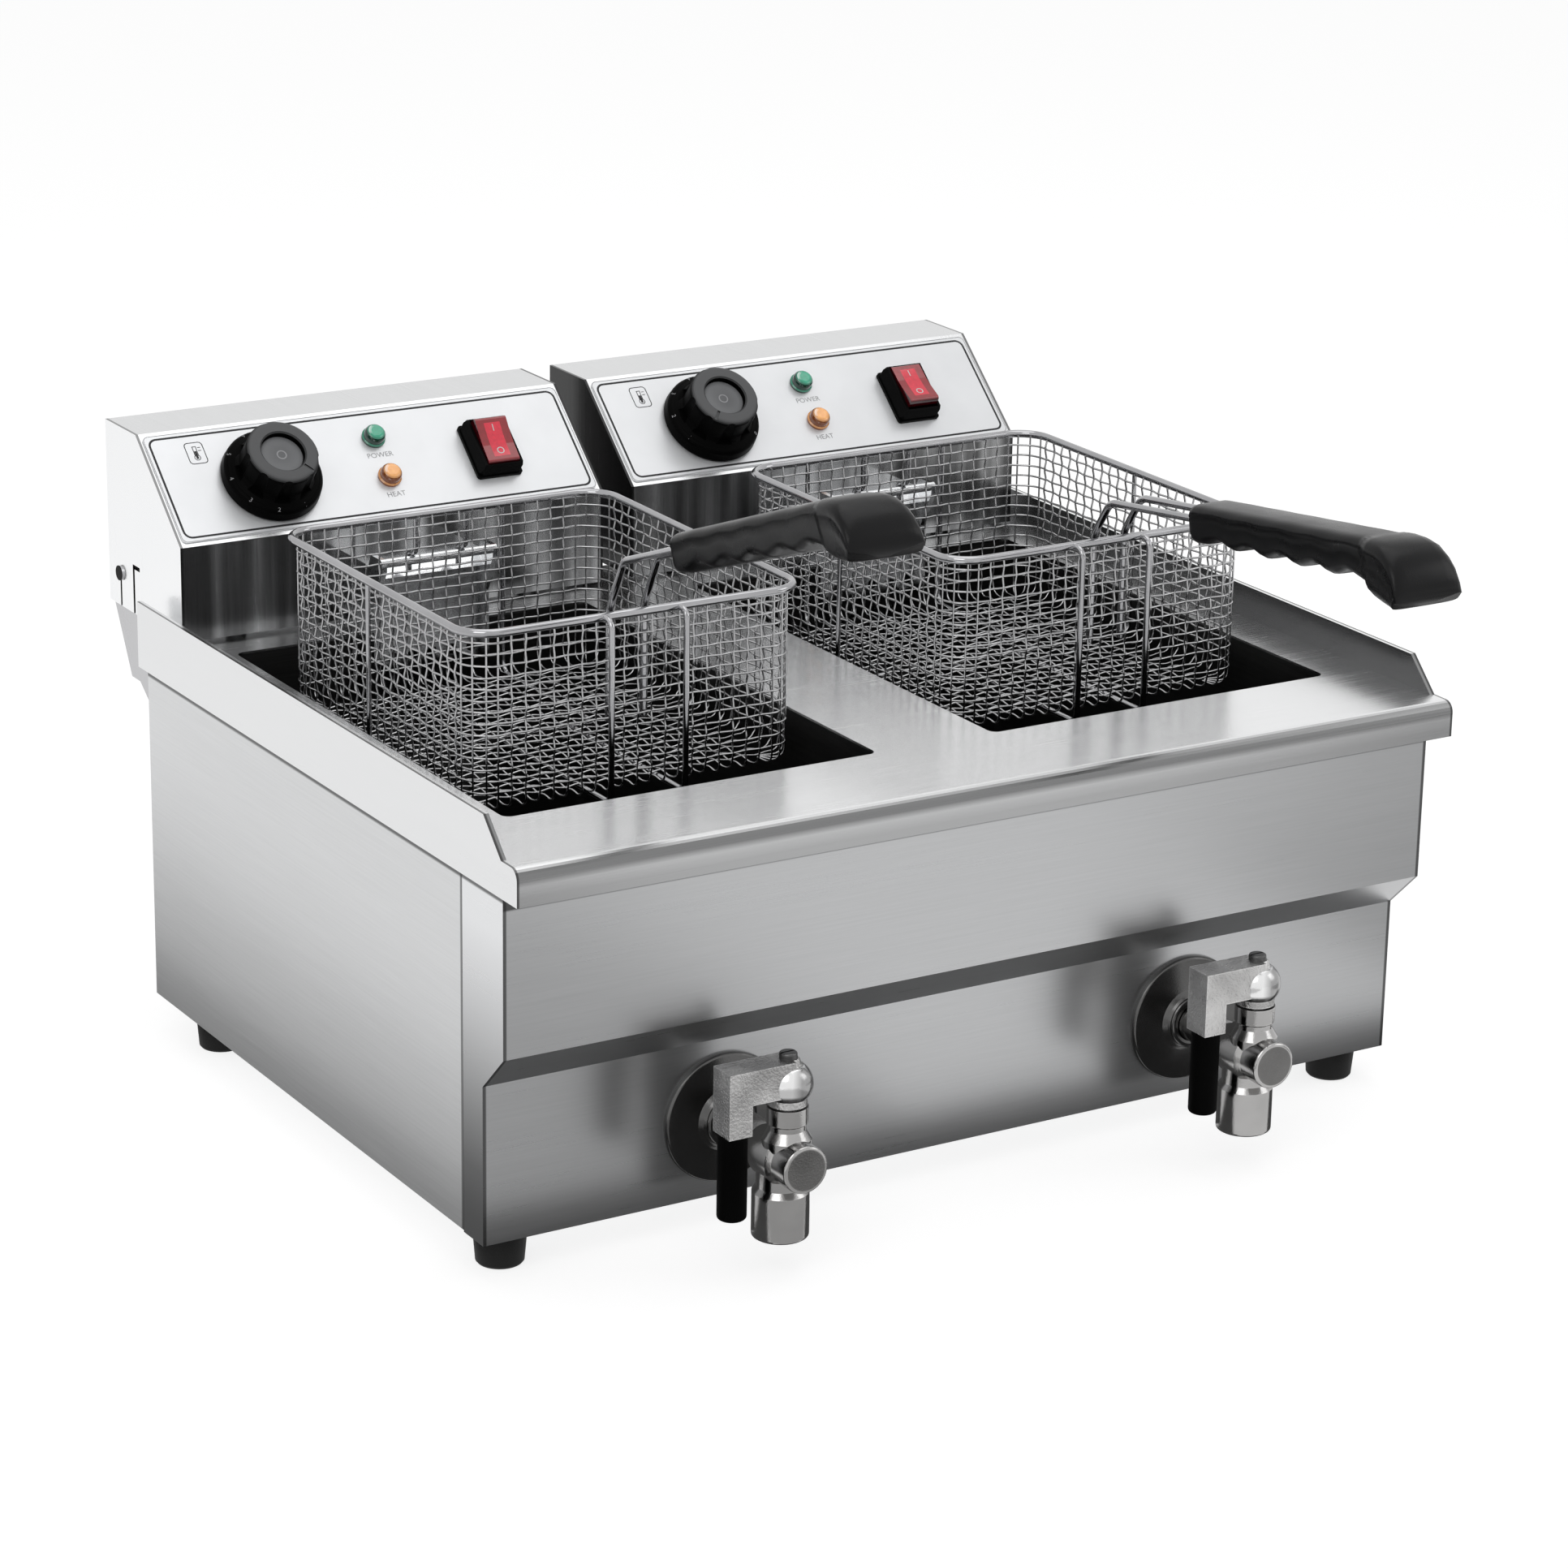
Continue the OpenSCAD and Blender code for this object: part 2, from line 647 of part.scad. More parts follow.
module rocker(side) color([0.75, 0.05, 0.06]) head_place(side) on_face(switch_x, control_s) {
  translate([0, 0, rocker_pin_h]) rotate([-side * rocker_tilt, 0, 0]) {
    along_x(rocker_w)
      polygon(concat([[-9, -4], [9, -4], [rocker_l / 2, 3]],
                     arc([rocker_l / 2 - 1.8, 6.2], 1.8, 0, 90, 5), [[3, 7.1], [-3, 7.1]],
                     arc([-rocker_l / 2 + 1.8, 6.2], 1.8, 90, 180, 5), [[-rocker_l / 2, 3]]));
    rotate([0, 90, 0]) cylinder(h = rocker_w + 2.4, d = 3, center = true);
  }
}

module thermostat(side) color(CERAMIC) head_place(side) on_face(knob_x, control_s) {
  difference() {
    union() {
      translate([0, 0, -8]) cylinder(h = 8 - wall, d = 10);
      translate([-20, -15, -30]) cube([40, 30, 22]);
    }
    translate([0, 0, -16]) cylinder(h = 20, d = shaft_d + 2 * fit);
  }
  for (x = [-12, 0, 12]) translate([x - 0.4, 15, -22]) cube([0.8, 7, 6]);
}

module terminal_block(side) color(CERAMIC) head_place(side) translate([40, 214, head_base + wall]) {
  difference() {
    rounded_slab(60, 24, 20, 2);
    for (i = [-2:2]) translate([i * 11.5, 0, 14]) cube([8.5, 30, 14], center = true);
    for (x = [-26, 26]) translate([x, 0, -1]) cylinder(h = 30, d = 3.2);
  }
}

module cord_gland(side)
color(PLASTIC) head_place(side) translate([gland_x, head_back, gland_z]) rotate([-90, 0, 0]) {
  difference() {
    union() {
      cylinder(h = 5, d = 24, $fn = 6);
      translate([0, 0, -11]) cylinder(h = 11, d = 16 - 2 * fit);
      translate([0, 0, -wall - 5]) cylinder(h = 5, d = 24, $fn = 6);
      translate([0, 0, 5])
        rotate_extrude() polygon([[0, 0], [10.5, 0], [10.5, 3], [8, gland_out - 5], [0, gland_out - 5]]);
    }
    translate([0, 0, -20]) cylinder(h = 50, d = 9);
  }
}

// guard: bridges from the head over the deck and down inside the tank
bridge_top = 44;
bridge_low = 10;
guard_front = 118;
guard_back = 136;
guard_bottom = -104;
guard_side = [[head_front, bridge_low], [head_front, bridge_top], [guard_front + 7, bridge_top],
              [guard_front, bridge_top - 7], [guard_front, guard_bottom], [guard_back, guard_bottom],
              [guard_back, bridge_low]];
hook_y = 110;
hook_z = 48;
hook_d = 5;
module element_guard(side) color(CHROME) head_place(side) translate([side * (tank_x - head_x), 0, 0]) {
  difference() {
    along_x(guard_w) polygon(guard_side);
    along_x(guard_w - 2 * wall)
      polygon([[head_front + 1, bridge_low - 0.01], [head_front + 1, bridge_top - wall],
               [guard_front + 7.4, bridge_top - wall], [guard_front + wall, bridge_top - 7.4],
               [guard_front + wall, guard_bottom - 1], [guard_back + 1, guard_bottom - 1],
               [guard_back + 1, bridge_low - 0.01]]);
    for (i = [-2:2], j = [0:5])
      translate([i * 12, guard_front - 5, guard_bottom + 16 + j * 16]) rotate([-90, 0, 0]) cylinder(h = 10, d = 6);
  }
  // hook bar for the basket, on two lugs
  rotate([0, 90, 0]) translate([-hook_z, hook_y, 0]) cylinder(h = guard_w, d = hook_d, center = true);
  for (x = [-1, 1])
    translate([x * (guard_w / 2 - 1.5), 0, 0])
      along_x(3)
        polygon([[guard_front + 0.5, 22], [guard_front + 0.5, bridge_top - 6.7],
                 [guard_front + 6.6, bridge_top - 0.6], [guard_front + 3, hook_z + 2.5],
                 [hook_y, hook_z + 2.5], [hook_y - 2.5, hook_z], [hook_y - 2.5, hook_z - 4]]);
}

// heating element: two looped bars spread over the tank floor
bar_d = 8;
loop_z = -128;
loop_front = -108;
bar_y = guard_back - 8;
function loop_path(s) = [
  [s * 20, head_front + 12, 26], [s * 20, bar_y, 26], [s * 20, bar_y, loop_z], [s * 20, 96, loop_z],
  [s * 88, 96, loop_z], [s * 88, loop_front, loop_z], [s * 54, loop_front, loop_z], [s * 54, 66, loop_z],
  [s * 20, 66, loop_z], [s * 20, loop_front, loop_z], [s * 0, loop_front, loop_z],
];
module heating_element(side) color(DARK_STEEL) head_place(side) translate([side * (tank_x - head_x), 0, 0]) {
  for (s = [-1, 1]) bent_bar(loop_path(s), 10, bar_d);
}

module sensor_bulbs(side) color(CHROME) head_place(side) translate([side * (tank_x - head_x), 0, 0]) {
  for (s = [-1, 1]) {
    straight([s * 8, bar_y - 2, -98], [s * 8, bar_y - 2, -10], 6);
    bent_bar([[s * 8, bar_y - 2, -12], [s * 8, bar_y - 2, 30], [s * 8, head_front + 14, 30]], 6, 2);
  }
}

// ---------- baskets ----------

module basket_place(side) {
  in_frame() translate([side * tank_x, basket_y, rim_z]) children();
}

bar_out = 9;
bar_spacing = 43;
bw = basket_w / 2;
bl = basket_l / 2;
stiff_d = 3.2;
rib_d = 2.6;
gap = 0.05;
mesh_in = rim_d / 2 + mesh_d / 2 + gap;
layer = mesh_d + 2 * gap;
mesh_floor = -basket_d + 3.5;
rib_out = layer - mesh_in + mesh_d / 2 + gap + rib_d / 2;
rib_floor = mesh_floor - mesh_d / 2 - gap - rib_d / 2;
bar_floor = mesh_floor - mesh_d / 2 - gap - stiff_d / 2;
rib_y = 4;
hook_x = 15;
hook_rest = hook_z - rim_z + hook_d / 2 + stiff_d / 2 + 0.1;
hook_back = hook_y - basket_y + 5.4;

module basket_frame(side) color(CHROME) basket_place(side) {
  hoop(basket_w, basket_l, basket_r, rim_d);
  // front bars stand clear of the mesh and run back under the floor
  for (s = [-1, 1])
    bent_bar([[s * bar_spacing / 2, -bl, 0], [s * bar_spacing / 2, -bl - bar_out, 0],
              [s * bar_spacing / 2, -bl - bar_out, bar_floor], [s * bar_spacing / 2, rib_y, bar_floor]],
             5, stiff_d);
  // rib across under the middle, and two ribs down the back
  bent_bar([[-bw - rib_out, rib_y, 0], [-bw - rib_out, rib_y, rib_floor],
            [bw + rib_out, rib_y, rib_floor], [bw + rib_out, rib_y, 0]], 7, rib_d);
  for (x = [-54, 36])
    bent_bar([[x, bl + rib_out, 0], [x, bl + rib_out, rib_floor], [x, rib_y, rib_floor]], 7, rib_d);
  // rear hooks, over the guard's bar
  for (s = [-1, 1])
    bent_bar([[s * hook_x, bl + 3.4, 0], [s * hook_x, bl + 3.4, hook_rest],
              [s * hook_x, hook_back, hook_rest], [s * hook_x, hook_back, hook_rest - 12]], 4, stiff_d);
}

// one mesh wire down a wall, across the floor and up the other wall
module mesh_wire(half, floor_z) {
  bent_bar([[0, -half, 0], [0, -half, floor_z], [0, half, floor_z], [0, half, 0]], 5, mesh_d);
}

module mesh_hoop(z, out) {
  translate([0, 0, z])
    hoop(basket_w - 2 * (mesh_in - out), basket_l - 2 * (mesh_in - out), basket_r - mesh_in + out, mesh_d);
}

// Crossing wires lie one on the other; the top hoop and the middle wire are welded to what they cross
weld = 0.2;
module basket_mesh(side) color(STEEL) basket_place(side) {
  nx = floor((bw - basket_r) / mesh_pitch);
  ny = floor((bl - basket_r) / mesh_pitch);
  nz = floor((basket_d - 8) / mesh_pitch);
  mesh_wire(bl - mesh_in + weld, mesh_floor);
  for (i = [1:nx], s = [-1, 1]) translate([s * i * mesh_pitch, 0, 0]) mesh_wire(bl - mesh_in, mesh_floor);
  for (i = [-ny:ny])
    translate([0, i * mesh_pitch, 0]) rotate([0, 0, 90]) mesh_wire(bw - mesh_in, mesh_floor + layer);
  // wires down the rounded corners, turned in at the foot
  for (x = [-1, 1], y = [-1, 1], a = [15, 45, 75])
    translate([x * (bw - basket_r), y * (bl - basket_r), 0])
      rotate([0, 0, atan2(y * sin(a), x * cos(a))])
        bent_bar([[basket_r - mesh_in, 0, 0], [basket_r - mesh_in, 0, mesh_floor], [4, 0, mesh_floor]],
                 5, mesh_d);
  mesh_hoop(-mesh_pitch, layer - weld);
  for (k = [2:nz]) mesh_hoop(-k * mesh_pitch, layer);
}

// ---------- handles ----------

wire_d = 4;
wire_spacing = 20;
// the handles stand a little outward of the basket's middle
handle_out = 5;
leg_in = mesh_in + mesh_d / 2 + 2 * gap + wire_d / 2;
leg_bottom = -57;
wire_up = 79;
grip_start = 93;
bore_d = wire_d + 0.1;
bore_end = grip_start + 100;

function handle_tilt(side) = side < 0 ? handle_tilt_left : handle_tilt_right;
function wire_x(side, s) = side * handle_out + s * wire_spacing / 2;

// A point given along and above the handle, which is turned by t about the foot of its wires
function on_handle(t, x, along, up) =
  [x, -bl - along * cos(t) + up * sin(t), leg_bottom + along * sin(t) + up * cos(t)];

// Points of a bend of radius r at corner b of the path a, b, c, in n steps
function rounded(a, b, c, r, n) =
  let (
    u = unit(a - b),
    v = unit(c - b),
    half = acos(u * v) / 2,
    centre = b + unit(u + v) * r / sin(half),
    from = b + u * r / tan(half) - centre,
    to = b + v * r / tan(half) - centre,
    turn = 180 - 2 * half
  )
  [for (i = [0:n]) centre + (sin(turn - turn * i / n) * from + sin(turn * i / n) * to) / sin(turn)];

// Round bar through close-set points, with a ball at each bend
module beaded_bar(p, d) {
  for (i = [0:len(p) - 2]) straight(p[i], p[i + 1], d);
  for (i = [1:len(p) - 2]) translate(p[i]) sphere(d = d + 0.12);
}

over_rim = 2;
knee_out = 9;
module handle_wires(side) color(CHROME) basket_place(side) {
  t = handle_tilt(side);
  for (s = [-1, 1]) {
    x = wire_x(side, s);
    foot = [x, -bl + leg_in, leg_bottom];
    corner = [x, -bl + leg_in, over_rim];
    knee = on_handle(t, x, (knee_out + wire_up * sin(t)) / cos(t), wire_up);
    end = on_handle(t, x, bore_end - 1, wire_up);
    beaded_bar(concat([foot], rounded(foot, corner, knee, 8, 2), rounded(corner, knee, end, 12, 4), [end]),
               wire_d);
  }
}

// Sections along the grip: top point, bottom point and half width. Each point is a distance from
// the grip's start and a height above the wires. Four finger waves run under the straight part,
// and the hood ahead of them is wider than the grip and turns down.
finger_pitch = 27.2;
waves = [for (i = [0:28])
  let (g = 9 + i * finger_pitch / 6)
  [[g, 8.1], [g, -12.6 - (g - 4) * 0.016 + 3.5 * pow(sin(180 * (g - 9) / finger_pitch), 2)],
   14 + 0.003 * g]];
grip_sections = concat(
  [[[0, 5.9], [0, -10.2], 13.2], [[1.5, 7.6], [1.5, -12], 13.8], [[4, 8.1], [4, -12.6], 14]],
  waves,
  [[[141, 8.1], [144, -14.8], 14.4], [[146, 8.1], [152.5, -17.8], 14.6]],
  [[[147.5, 8.3], [154, -19.4], 18.4], [[152, 8.3], [157, -21], 18.8], [[160, 7.4], [161, -22.4], 19.2],
   [[167, 5.1], [164.5, -23.2], 19.7], [[172.5, 0.6], [167.5, -23.6], 20.2], [[176.5, -5], [170.5, -23.8], 20.6],
   [[179, -11.5], [173, -23.8], 20.9], [[180, -18], [175, -23.7], 21]]
);

// One rounded section of the grip; the half above the ledge is the cover, a little wider than the body
ledge = 0.5;
edge_power = 0.45;
ledge_angle = 11;
side_angles = [-75, -60, -45, -30, -15, 0, ledge_angle - 1, ledge_angle + 1, 30, 45, 60, 75];
ring_angles = concat([-90], side_angles, [90], [for (i = [len(side_angles) - 1:-1:0]) 180 - side_angles[i]]);
function shaped(v) = sign(v) * pow(abs(v), edge_power);
function grip_ring(side, section) =
  let (
    middle = (section[0] + section[1]) / 2,
    arm = (section[0] - section[1]) / 2,
    ledge_sin = sin(ledge_angle)
  )
  [for (q = ring_angles)
    let (
      half = section[2] - (sin(q) < ledge_sin ? ledge : 0),
      at = middle + arm * shaped(sin(q))
    )
    on_handle(handle_tilt(side), side * handle_out + half * shaped(cos(q)),
              grip_start + at[0], wire_up + at[1])];

// Forward reach of the handles and the back of the cord glands set the middle of the machine
function reach(side) = max([for (g = grip_sections, p = grip_ring(side, g)) -p.y - basket_y]);
front_reach = max(reach(LEFT), reach(RIGHT));
frame_shift = (front_reach - head_back - gland_out) / 2;

module handle_grip(side) color(PLASTIC) basket_place(side) {
  t = handle_tilt(side);
  n = len(grip_sections);
  m = len(ring_angles);
  points = [for (g = grip_sections) each grip_ring(side, g)];
  walls = [for (k = [0:n - 2], i = [0:m - 1])
    let (j = (i + 1) % m)
    [k * m + i, k * m + j, (k + 1) * m + j, (k + 1) * m + i]];
  start_cap = [[for (i = [m - 1:-1:0]) i]];
  end_cap = [[for (i = [0:m - 1]) (n - 1) * m + i]];
  difference() {
    polyhedron(points, concat(walls, start_cap, end_cap));
    for (s = [-1, 1])
      straight(on_handle(t, wire_x(side, s), grip_start - 5, wire_up),
               on_handle(t, wire_x(side, s), bore_end, wire_up), bore_d);
  }
}

// ---------- nodes ----------

deck_tray();
front_panel();
side_panel(LEFT);  // side_panel_left
side_panel(RIGHT);  // side_panel_right
back_panel();
base_plate();
feet();
hinge_brackets();
tank(LEFT);  // tank_left
tank(RIGHT);  // tank_right
tap_flange(LEFT);  // tap_flange_left
tap_flange(RIGHT);  // tap_flange_right
tap_body(LEFT);  // tap_body_left
tap_body(RIGHT);  // tap_body_right
tap_ball(LEFT);  // tap_ball_left
tap_ball(RIGHT);  // tap_ball_right
tap_lever(LEFT);  // tap_lever_left
tap_lever(RIGHT);  // tap_lever_right
tap_grip(LEFT);  // tap_grip_left
tap_grip(RIGHT);  // tap_grip_right
tap_screw(LEFT);  // tap_screw_left
tap_screw(RIGHT);  // tap_screw_right
head_housing(LEFT);  // head_housing_left
head_housing(RIGHT);  // head_housing_right
head_cover(LEFT);  // head_cover_left
head_cover(RIGHT);  // head_cover_right
control_plate(LEFT);  // control_plate_left
control_plate(RIGHT);  // control_plate_right
knob(LEFT);  // knob_left
knob(RIGHT);  // knob_right
lamp(LEFT, 1, [0.05, 0.45, 0.25]);  // lamp_green_left
lamp(RIGHT, 1, [0.05, 0.45, 0.25]);  // lamp_green_right
lamp(LEFT, -1, [0.95, 0.45, 0.1]);  // lamp_orange_left
lamp(RIGHT, -1, [0.95, 0.45, 0.1]);  // lamp_orange_right
switch_frame(LEFT);  // switch_frame_left
switch_frame(RIGHT);  // switch_frame_right
rocker(LEFT);  // rocker_left
rocker(RIGHT);  // rocker_right
thermostat(LEFT);  // thermostat_left
thermostat(RIGHT);  // thermostat_right
terminal_block(LEFT);  // terminal_block_left
terminal_block(RIGHT);  // terminal_block_right
cord_gland(LEFT);  // cord_gland_left
cord_gland(RIGHT);  // cord_gland_right
element_guard(LEFT);  // element_guard_left
element_guard(RIGHT);  // element_guard_right
heating_element(LEFT);  // heating_element_left
heating_element(RIGHT);  // heating_element_right
sensor_bulbs(LEFT);  // sensor_bulbs_left
sensor_bulbs(RIGHT);  // sensor_bulbs_right
basket_frame(LEFT);  // basket_frame_left
basket_frame(RIGHT);  // basket_frame_right
basket_mesh(LEFT);  // basket_mesh_left
basket_mesh(RIGHT);  // basket_mesh_right
handle_wires(LEFT);  // handle_wires_left
handle_wires(RIGHT);  // handle_wires_right
handle_grip(LEFT);  // handle_grip_left
handle_grip(RIGHT);  // handle_grip_right
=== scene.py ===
"""Twin countertop deep fryer: finishes, woven baskets, moulded handles and printed panels around its frame."""

import logging
import math
from dataclasses import dataclass
from enum import Enum
from functools import cache
from math import cos, pi, radians, sin
from typing import Callable, Iterable, Iterator, Sequence

import bmesh
import bpy
from bpy.types import Material, Mesh, Node, NodeSocket, NodeTree, Object
from mathutils import Matrix, Vector


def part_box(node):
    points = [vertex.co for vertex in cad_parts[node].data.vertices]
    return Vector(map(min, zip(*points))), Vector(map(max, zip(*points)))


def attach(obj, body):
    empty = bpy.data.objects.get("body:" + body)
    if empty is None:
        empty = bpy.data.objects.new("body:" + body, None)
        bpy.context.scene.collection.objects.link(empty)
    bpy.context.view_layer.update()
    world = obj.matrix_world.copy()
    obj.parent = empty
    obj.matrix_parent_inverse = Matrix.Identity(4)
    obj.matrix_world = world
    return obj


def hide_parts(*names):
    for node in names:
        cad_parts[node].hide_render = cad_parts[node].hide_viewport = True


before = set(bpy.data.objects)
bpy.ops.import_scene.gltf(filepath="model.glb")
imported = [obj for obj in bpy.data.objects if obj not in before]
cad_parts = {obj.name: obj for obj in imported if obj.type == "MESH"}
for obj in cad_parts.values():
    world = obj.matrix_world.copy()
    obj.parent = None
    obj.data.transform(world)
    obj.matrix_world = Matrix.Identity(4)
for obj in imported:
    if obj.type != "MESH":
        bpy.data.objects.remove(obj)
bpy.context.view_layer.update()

LOG = logging.getLogger("fryer")
MM = 0.001
Point = tuple[float, float, float]
Flat = tuple[float, float]
Sockets = Sequence[NodeSocket]

# Places in millimetres from the middle of the deck; x is the same on both sides.
TANK_X, TAP_AXIS_Y, BARREL_Y, TAP_Z, HUB_RISE = 142.0, -262.0, -246.0, -166.0, 29.0
HEAD_X, HEAD_FRONT, HEAD_LOW, HEAD_BACK = 139.0, 165.5, 55.0, 263.0
PIVOT_Y, PIVOT_Z = 247.0, 21.0
RIM_Z = 75.0
SLOPE_OUT = (0.0, -0.6627, 0.7489)  # the way the control plates face


class Side(Enum):
    """The two halves of the machine; the value ends each piece's name."""

    LEFT = "left"
    RIGHT = "right"

    @property
    def sign(self) -> int:
        """-1 on the left, 1 on the right."""
        return -1 if self is Side.LEFT else 1

    def node(self, name: str) -> str:
        """Returns the CAD node or body of that name on this side."""
        return f"{name}_{self.value}"


def deck_origin() -> Vector:
    """Returns the middle of the deck surface, from which the sub-assemblies are laid out."""
    low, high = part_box("deck_tray")
    return Vector((0.0, low.y + 240 * MM, high.z - 18 * MM))


DECK = deck_origin()


def mm(x: float, y: float, z: float) -> Vector:
    """Returns a vector given in millimetres."""
    return Vector((x, y, z)) * MM


def deck(x: float, y: float, z: float) -> Vector:
    """Returns the frame point of a place in millimetres right of, behind and above the middle of the deck."""
    return DECK + mm(x, y, z)


def height_at(z: float) -> float:
    """Returns the frame height of a level in millimetres above the deck."""
    return deck(0, 0, z).z


# ---------------------------------------------------------------- node trees


class Tree:
    """Short calls for laying out a node tree.

    Inputs are given by name or number; one that is a socket is linked, anything else is a value.
    """

    def __init__(self, tree: NodeTree) -> None:
        """Takes the tree to fill."""
        self.tree = tree

    def feed(self, node: Node, inputs: dict) -> None:
        """Sets a node's inputs.

        Args:
            node: the node.
            inputs: its inputs.
        """
        for key, value in inputs.items():
            if isinstance(value, NodeSocket):
                self.tree.links.new(value, node.inputs[key])
            else:
                node.inputs[key].default_value = value

    def add(self, kind: str, inputs: dict | None = None, **settings: object) -> Node:
        """Adds a node.

        Args:
            kind: the node's type name.
            inputs: its inputs.
            settings: its own properties.

        Returns:
            The node.
        """
        column = len(self.tree.nodes)
        node = self.tree.nodes.new(kind)
        node.location = (180 * (column % 12), -220 * (column // 12))
        for key, value in settings.items():
            setattr(node, key, value)
        self.feed(node, inputs or {})
        return node

    def make(self, kind: str, inputs: dict | None = None, **settings: object) -> NodeSocket:
        """Adds a node as add does, and returns its first output."""
        return self.add(kind, inputs, **settings).outputs[0]

    def math(self, operation: str, a: object, b: object = 0.0) -> NodeSocket:
        """Returns the output of a Math node."""
        return self.make("ShaderNodeMath", {0: a, 1: b}, operation=operation)

    def times(self, a: object, b: object) -> NodeSocket:
        """Returns the product of two numbers."""
        return self.math("MULTIPLY", a, b)

    def between(self, factor: object, a: object, b: object) -> NodeSocket:
        """Returns the number that far on the way from one to another."""
        rest = self.math("SUBTRACT", 1.0, factor)
        return self.math("ADD", self.times(b, factor), self.times(a, rest))

    def dot(self, a: object, b: object) -> NodeSocket:
        """Returns the dot product of two vectors."""
        return self.add("ShaderNodeVectorMath", {0: a, 1: b}, operation="DOT_PRODUCT").outputs["Value"]

    def axes(self, vector: NodeSocket) -> Sockets:
        """Returns the three parts of a vector."""
        return self.add("ShaderNodeSeparateXYZ", {0: vector}).outputs

    def mix(self, factor: object, a: object, b: object) -> NodeSocket:
        """Returns the colour that far on the way from one to another."""
        return self.add("ShaderNodeMix", {0: factor, 6: a, 7: b}, data_type="RGBA").outputs[2]

    def spread(self, value: object, low: float, high: float, to_low: float = 0.0, to_high: float = 1.0) -> NodeSocket:
        """Returns a value mapped and clamped from one range onto another."""
        inputs = {"Value": value, "From Min": low, "From Max": high, "To Min": to_low, "To Max": to_high}
        return self.make("ShaderNodeMapRange", inputs)

    def noise(self, place: NodeSocket, scale: object, detail: float, rough: float = 0.5) -> NodeSocket:
        """Returns the value of a Noise Texture."""
        return self.make("ShaderNodeTexNoise", {"Vector": place, "Scale": scale, "Detail": detail, "Roughness": rough})

    def bump(self, height: NodeSocket, strength: float, distance: float = 0.1 * MM) -> NodeSocket:
        """Returns the normal that a height gives."""
        return self.make("ShaderNodeBump", {"Height": height, "Strength": strength, "Distance": distance})


def empty_tree(owner: Material | bpy.types.World) -> NodeTree:
    """Empties the node tree of a material or world.

    Args:
        owner: the material or world.

    Returns:
        The tree.
    """
    owner.use_nodes = True
    owner.node_tree.nodes.clear()
    return owner.node_tree


def new_group(name: str, inputs: Iterable[tuple], outputs: Iterable[tuple], kind: str = "ShaderNodeTree") -> tuple:
    """Starts a node group.

    Args:
        name: the group's name.
        inputs: socket type, name and, if it has one, default of each input.
        outputs: socket type and name of each output.
        kind: the group's type.

    Returns:
        The group's Tree, the sockets of its input node and its output node.
    """
    group = bpy.data.node_groups.new(name, kind)
    for direction, sockets in (("INPUT", inputs), ("OUTPUT", outputs)):
        for socket_type, label, *default in sockets:
            socket = group.interface.new_socket(label, in_out=direction, socket_type=f"NodeSocket{socket_type}")
            for value in default:
                socket.default_value = value
    tree = Tree(group)
    return tree, tree.add("NodeGroupInput").outputs, tree.add("NodeGroupOutput")


@cache
def brushed_lines() -> NodeTree:
    """Builds the polishing lines of sheet steel: level lines on upright faces, lines across on level ones.

    Returns:
        The group.
    """
    tree, given, out = new_group(
        "brushed_lines",
        [("Vector", "Position", (0.0, 0.0, 0.0)), ("Vector", "Normal", (0.0, 0.0, 0.0)),
         ("Float", "Density", 900.0), ("Float", "Upright", 0.0)],
        [("Float", "Lines"), ("Float", "Cloud")],
    )
    x, y, z = tree.axes(given["Position"])
    facing = tree.axes(given["Normal"])
    sideways, level = (tree.spread(tree.math("ABSOLUTE", facing[axis]), 0.70, 0.75) for axis in (0, 2))
    run, rise = tree.between(sideways, x, y), tree.between(level, z, y)
    along, across = tree.between(given["Upright"], run, rise), tree.between(given["Upright"], rise, run)
    for label, length, density, detail, rough, low in (
        ("Lines", 14.0, given["Density"], 3.0, 0.65, 0.28), ("Cloud", 2.2, 46.0, 2.0, 0.5, 0.25),
    ):
        at = {0: tree.times(along, length), 1: tree.times(across, density), 2: sideways}
        value = tree.noise(tree.make("ShaderNodeCombineXYZ", at), 1.0, detail, rough)
        tree.feed(out, {label: tree.spread(value, low, 1.0 - low)})
    return tree.tree


@cache
def surface_grain() -> NodeTree:
    """Builds a fine spark-eroded or cast grain with larger, softer patches.

    Returns:
        The group.
    """
    tree, given, out = new_group(
        "surface_grain",
        [("Vector", "Position", (0.0, 0.0, 0.0)), ("Float", "Size", 2500.0)],
        [("Float", "Grain"), ("Float", "Patches")],
    )
    fine, wide = tree.noise(given["Position"], given["Size"], 2.0), tree.noise(given["Position"], 34.0, 3.0)
    tree.feed(out, {"Grain": tree.spread(fine, 0.25, 0.75), "Patches": tree.spread(wide, 0.3, 0.7)})
    return tree.tree


@cache
def rubbed_edges() -> NodeTree:
    """Builds a mask of the edges that are lightened for wear from hands and cloths and as a painted edge highlight.

    Returns:
        The group.
    """
    tree, given, out = new_group(
        "rubbed_edges", [("Float", "Width", 1.2 * MM), ("Float", "Amount", 1.0)], [("Float", "Edge")]
    )
    bevel = tree.make("ShaderNodeBevel", {"Radius": given["Width"]}, samples=4)
    turn = tree.dot(bevel, tree.add("ShaderNodeNewGeometry").outputs["Normal"])
    tree.feed(out, {"Edge": tree.times(tree.spread(turn, 0.995, 0.9), given["Amount"])})
    return tree.tree


# ---------------------------------------------------------------- finishes

JOINT_LINE, EDGE_SHADE = 0.03, 0.04  # greys of the dark joint lines and of the painted shade lines along sheet edges
SQUARE_ON = (0.9, 0.97)  # how square to a direction a face is, from not at all to fully


def grey(value: float) -> tuple[float, ...]:
    """Returns an opaque neutral colour."""
    return (value, value, value, 1.0)


def shade(color: Sequence[float], factor: float) -> tuple[float, ...]:
    """Returns a colour made lighter or darker."""
    return (*(min(1.0, c * factor) for c in color[:3]), 1.0)


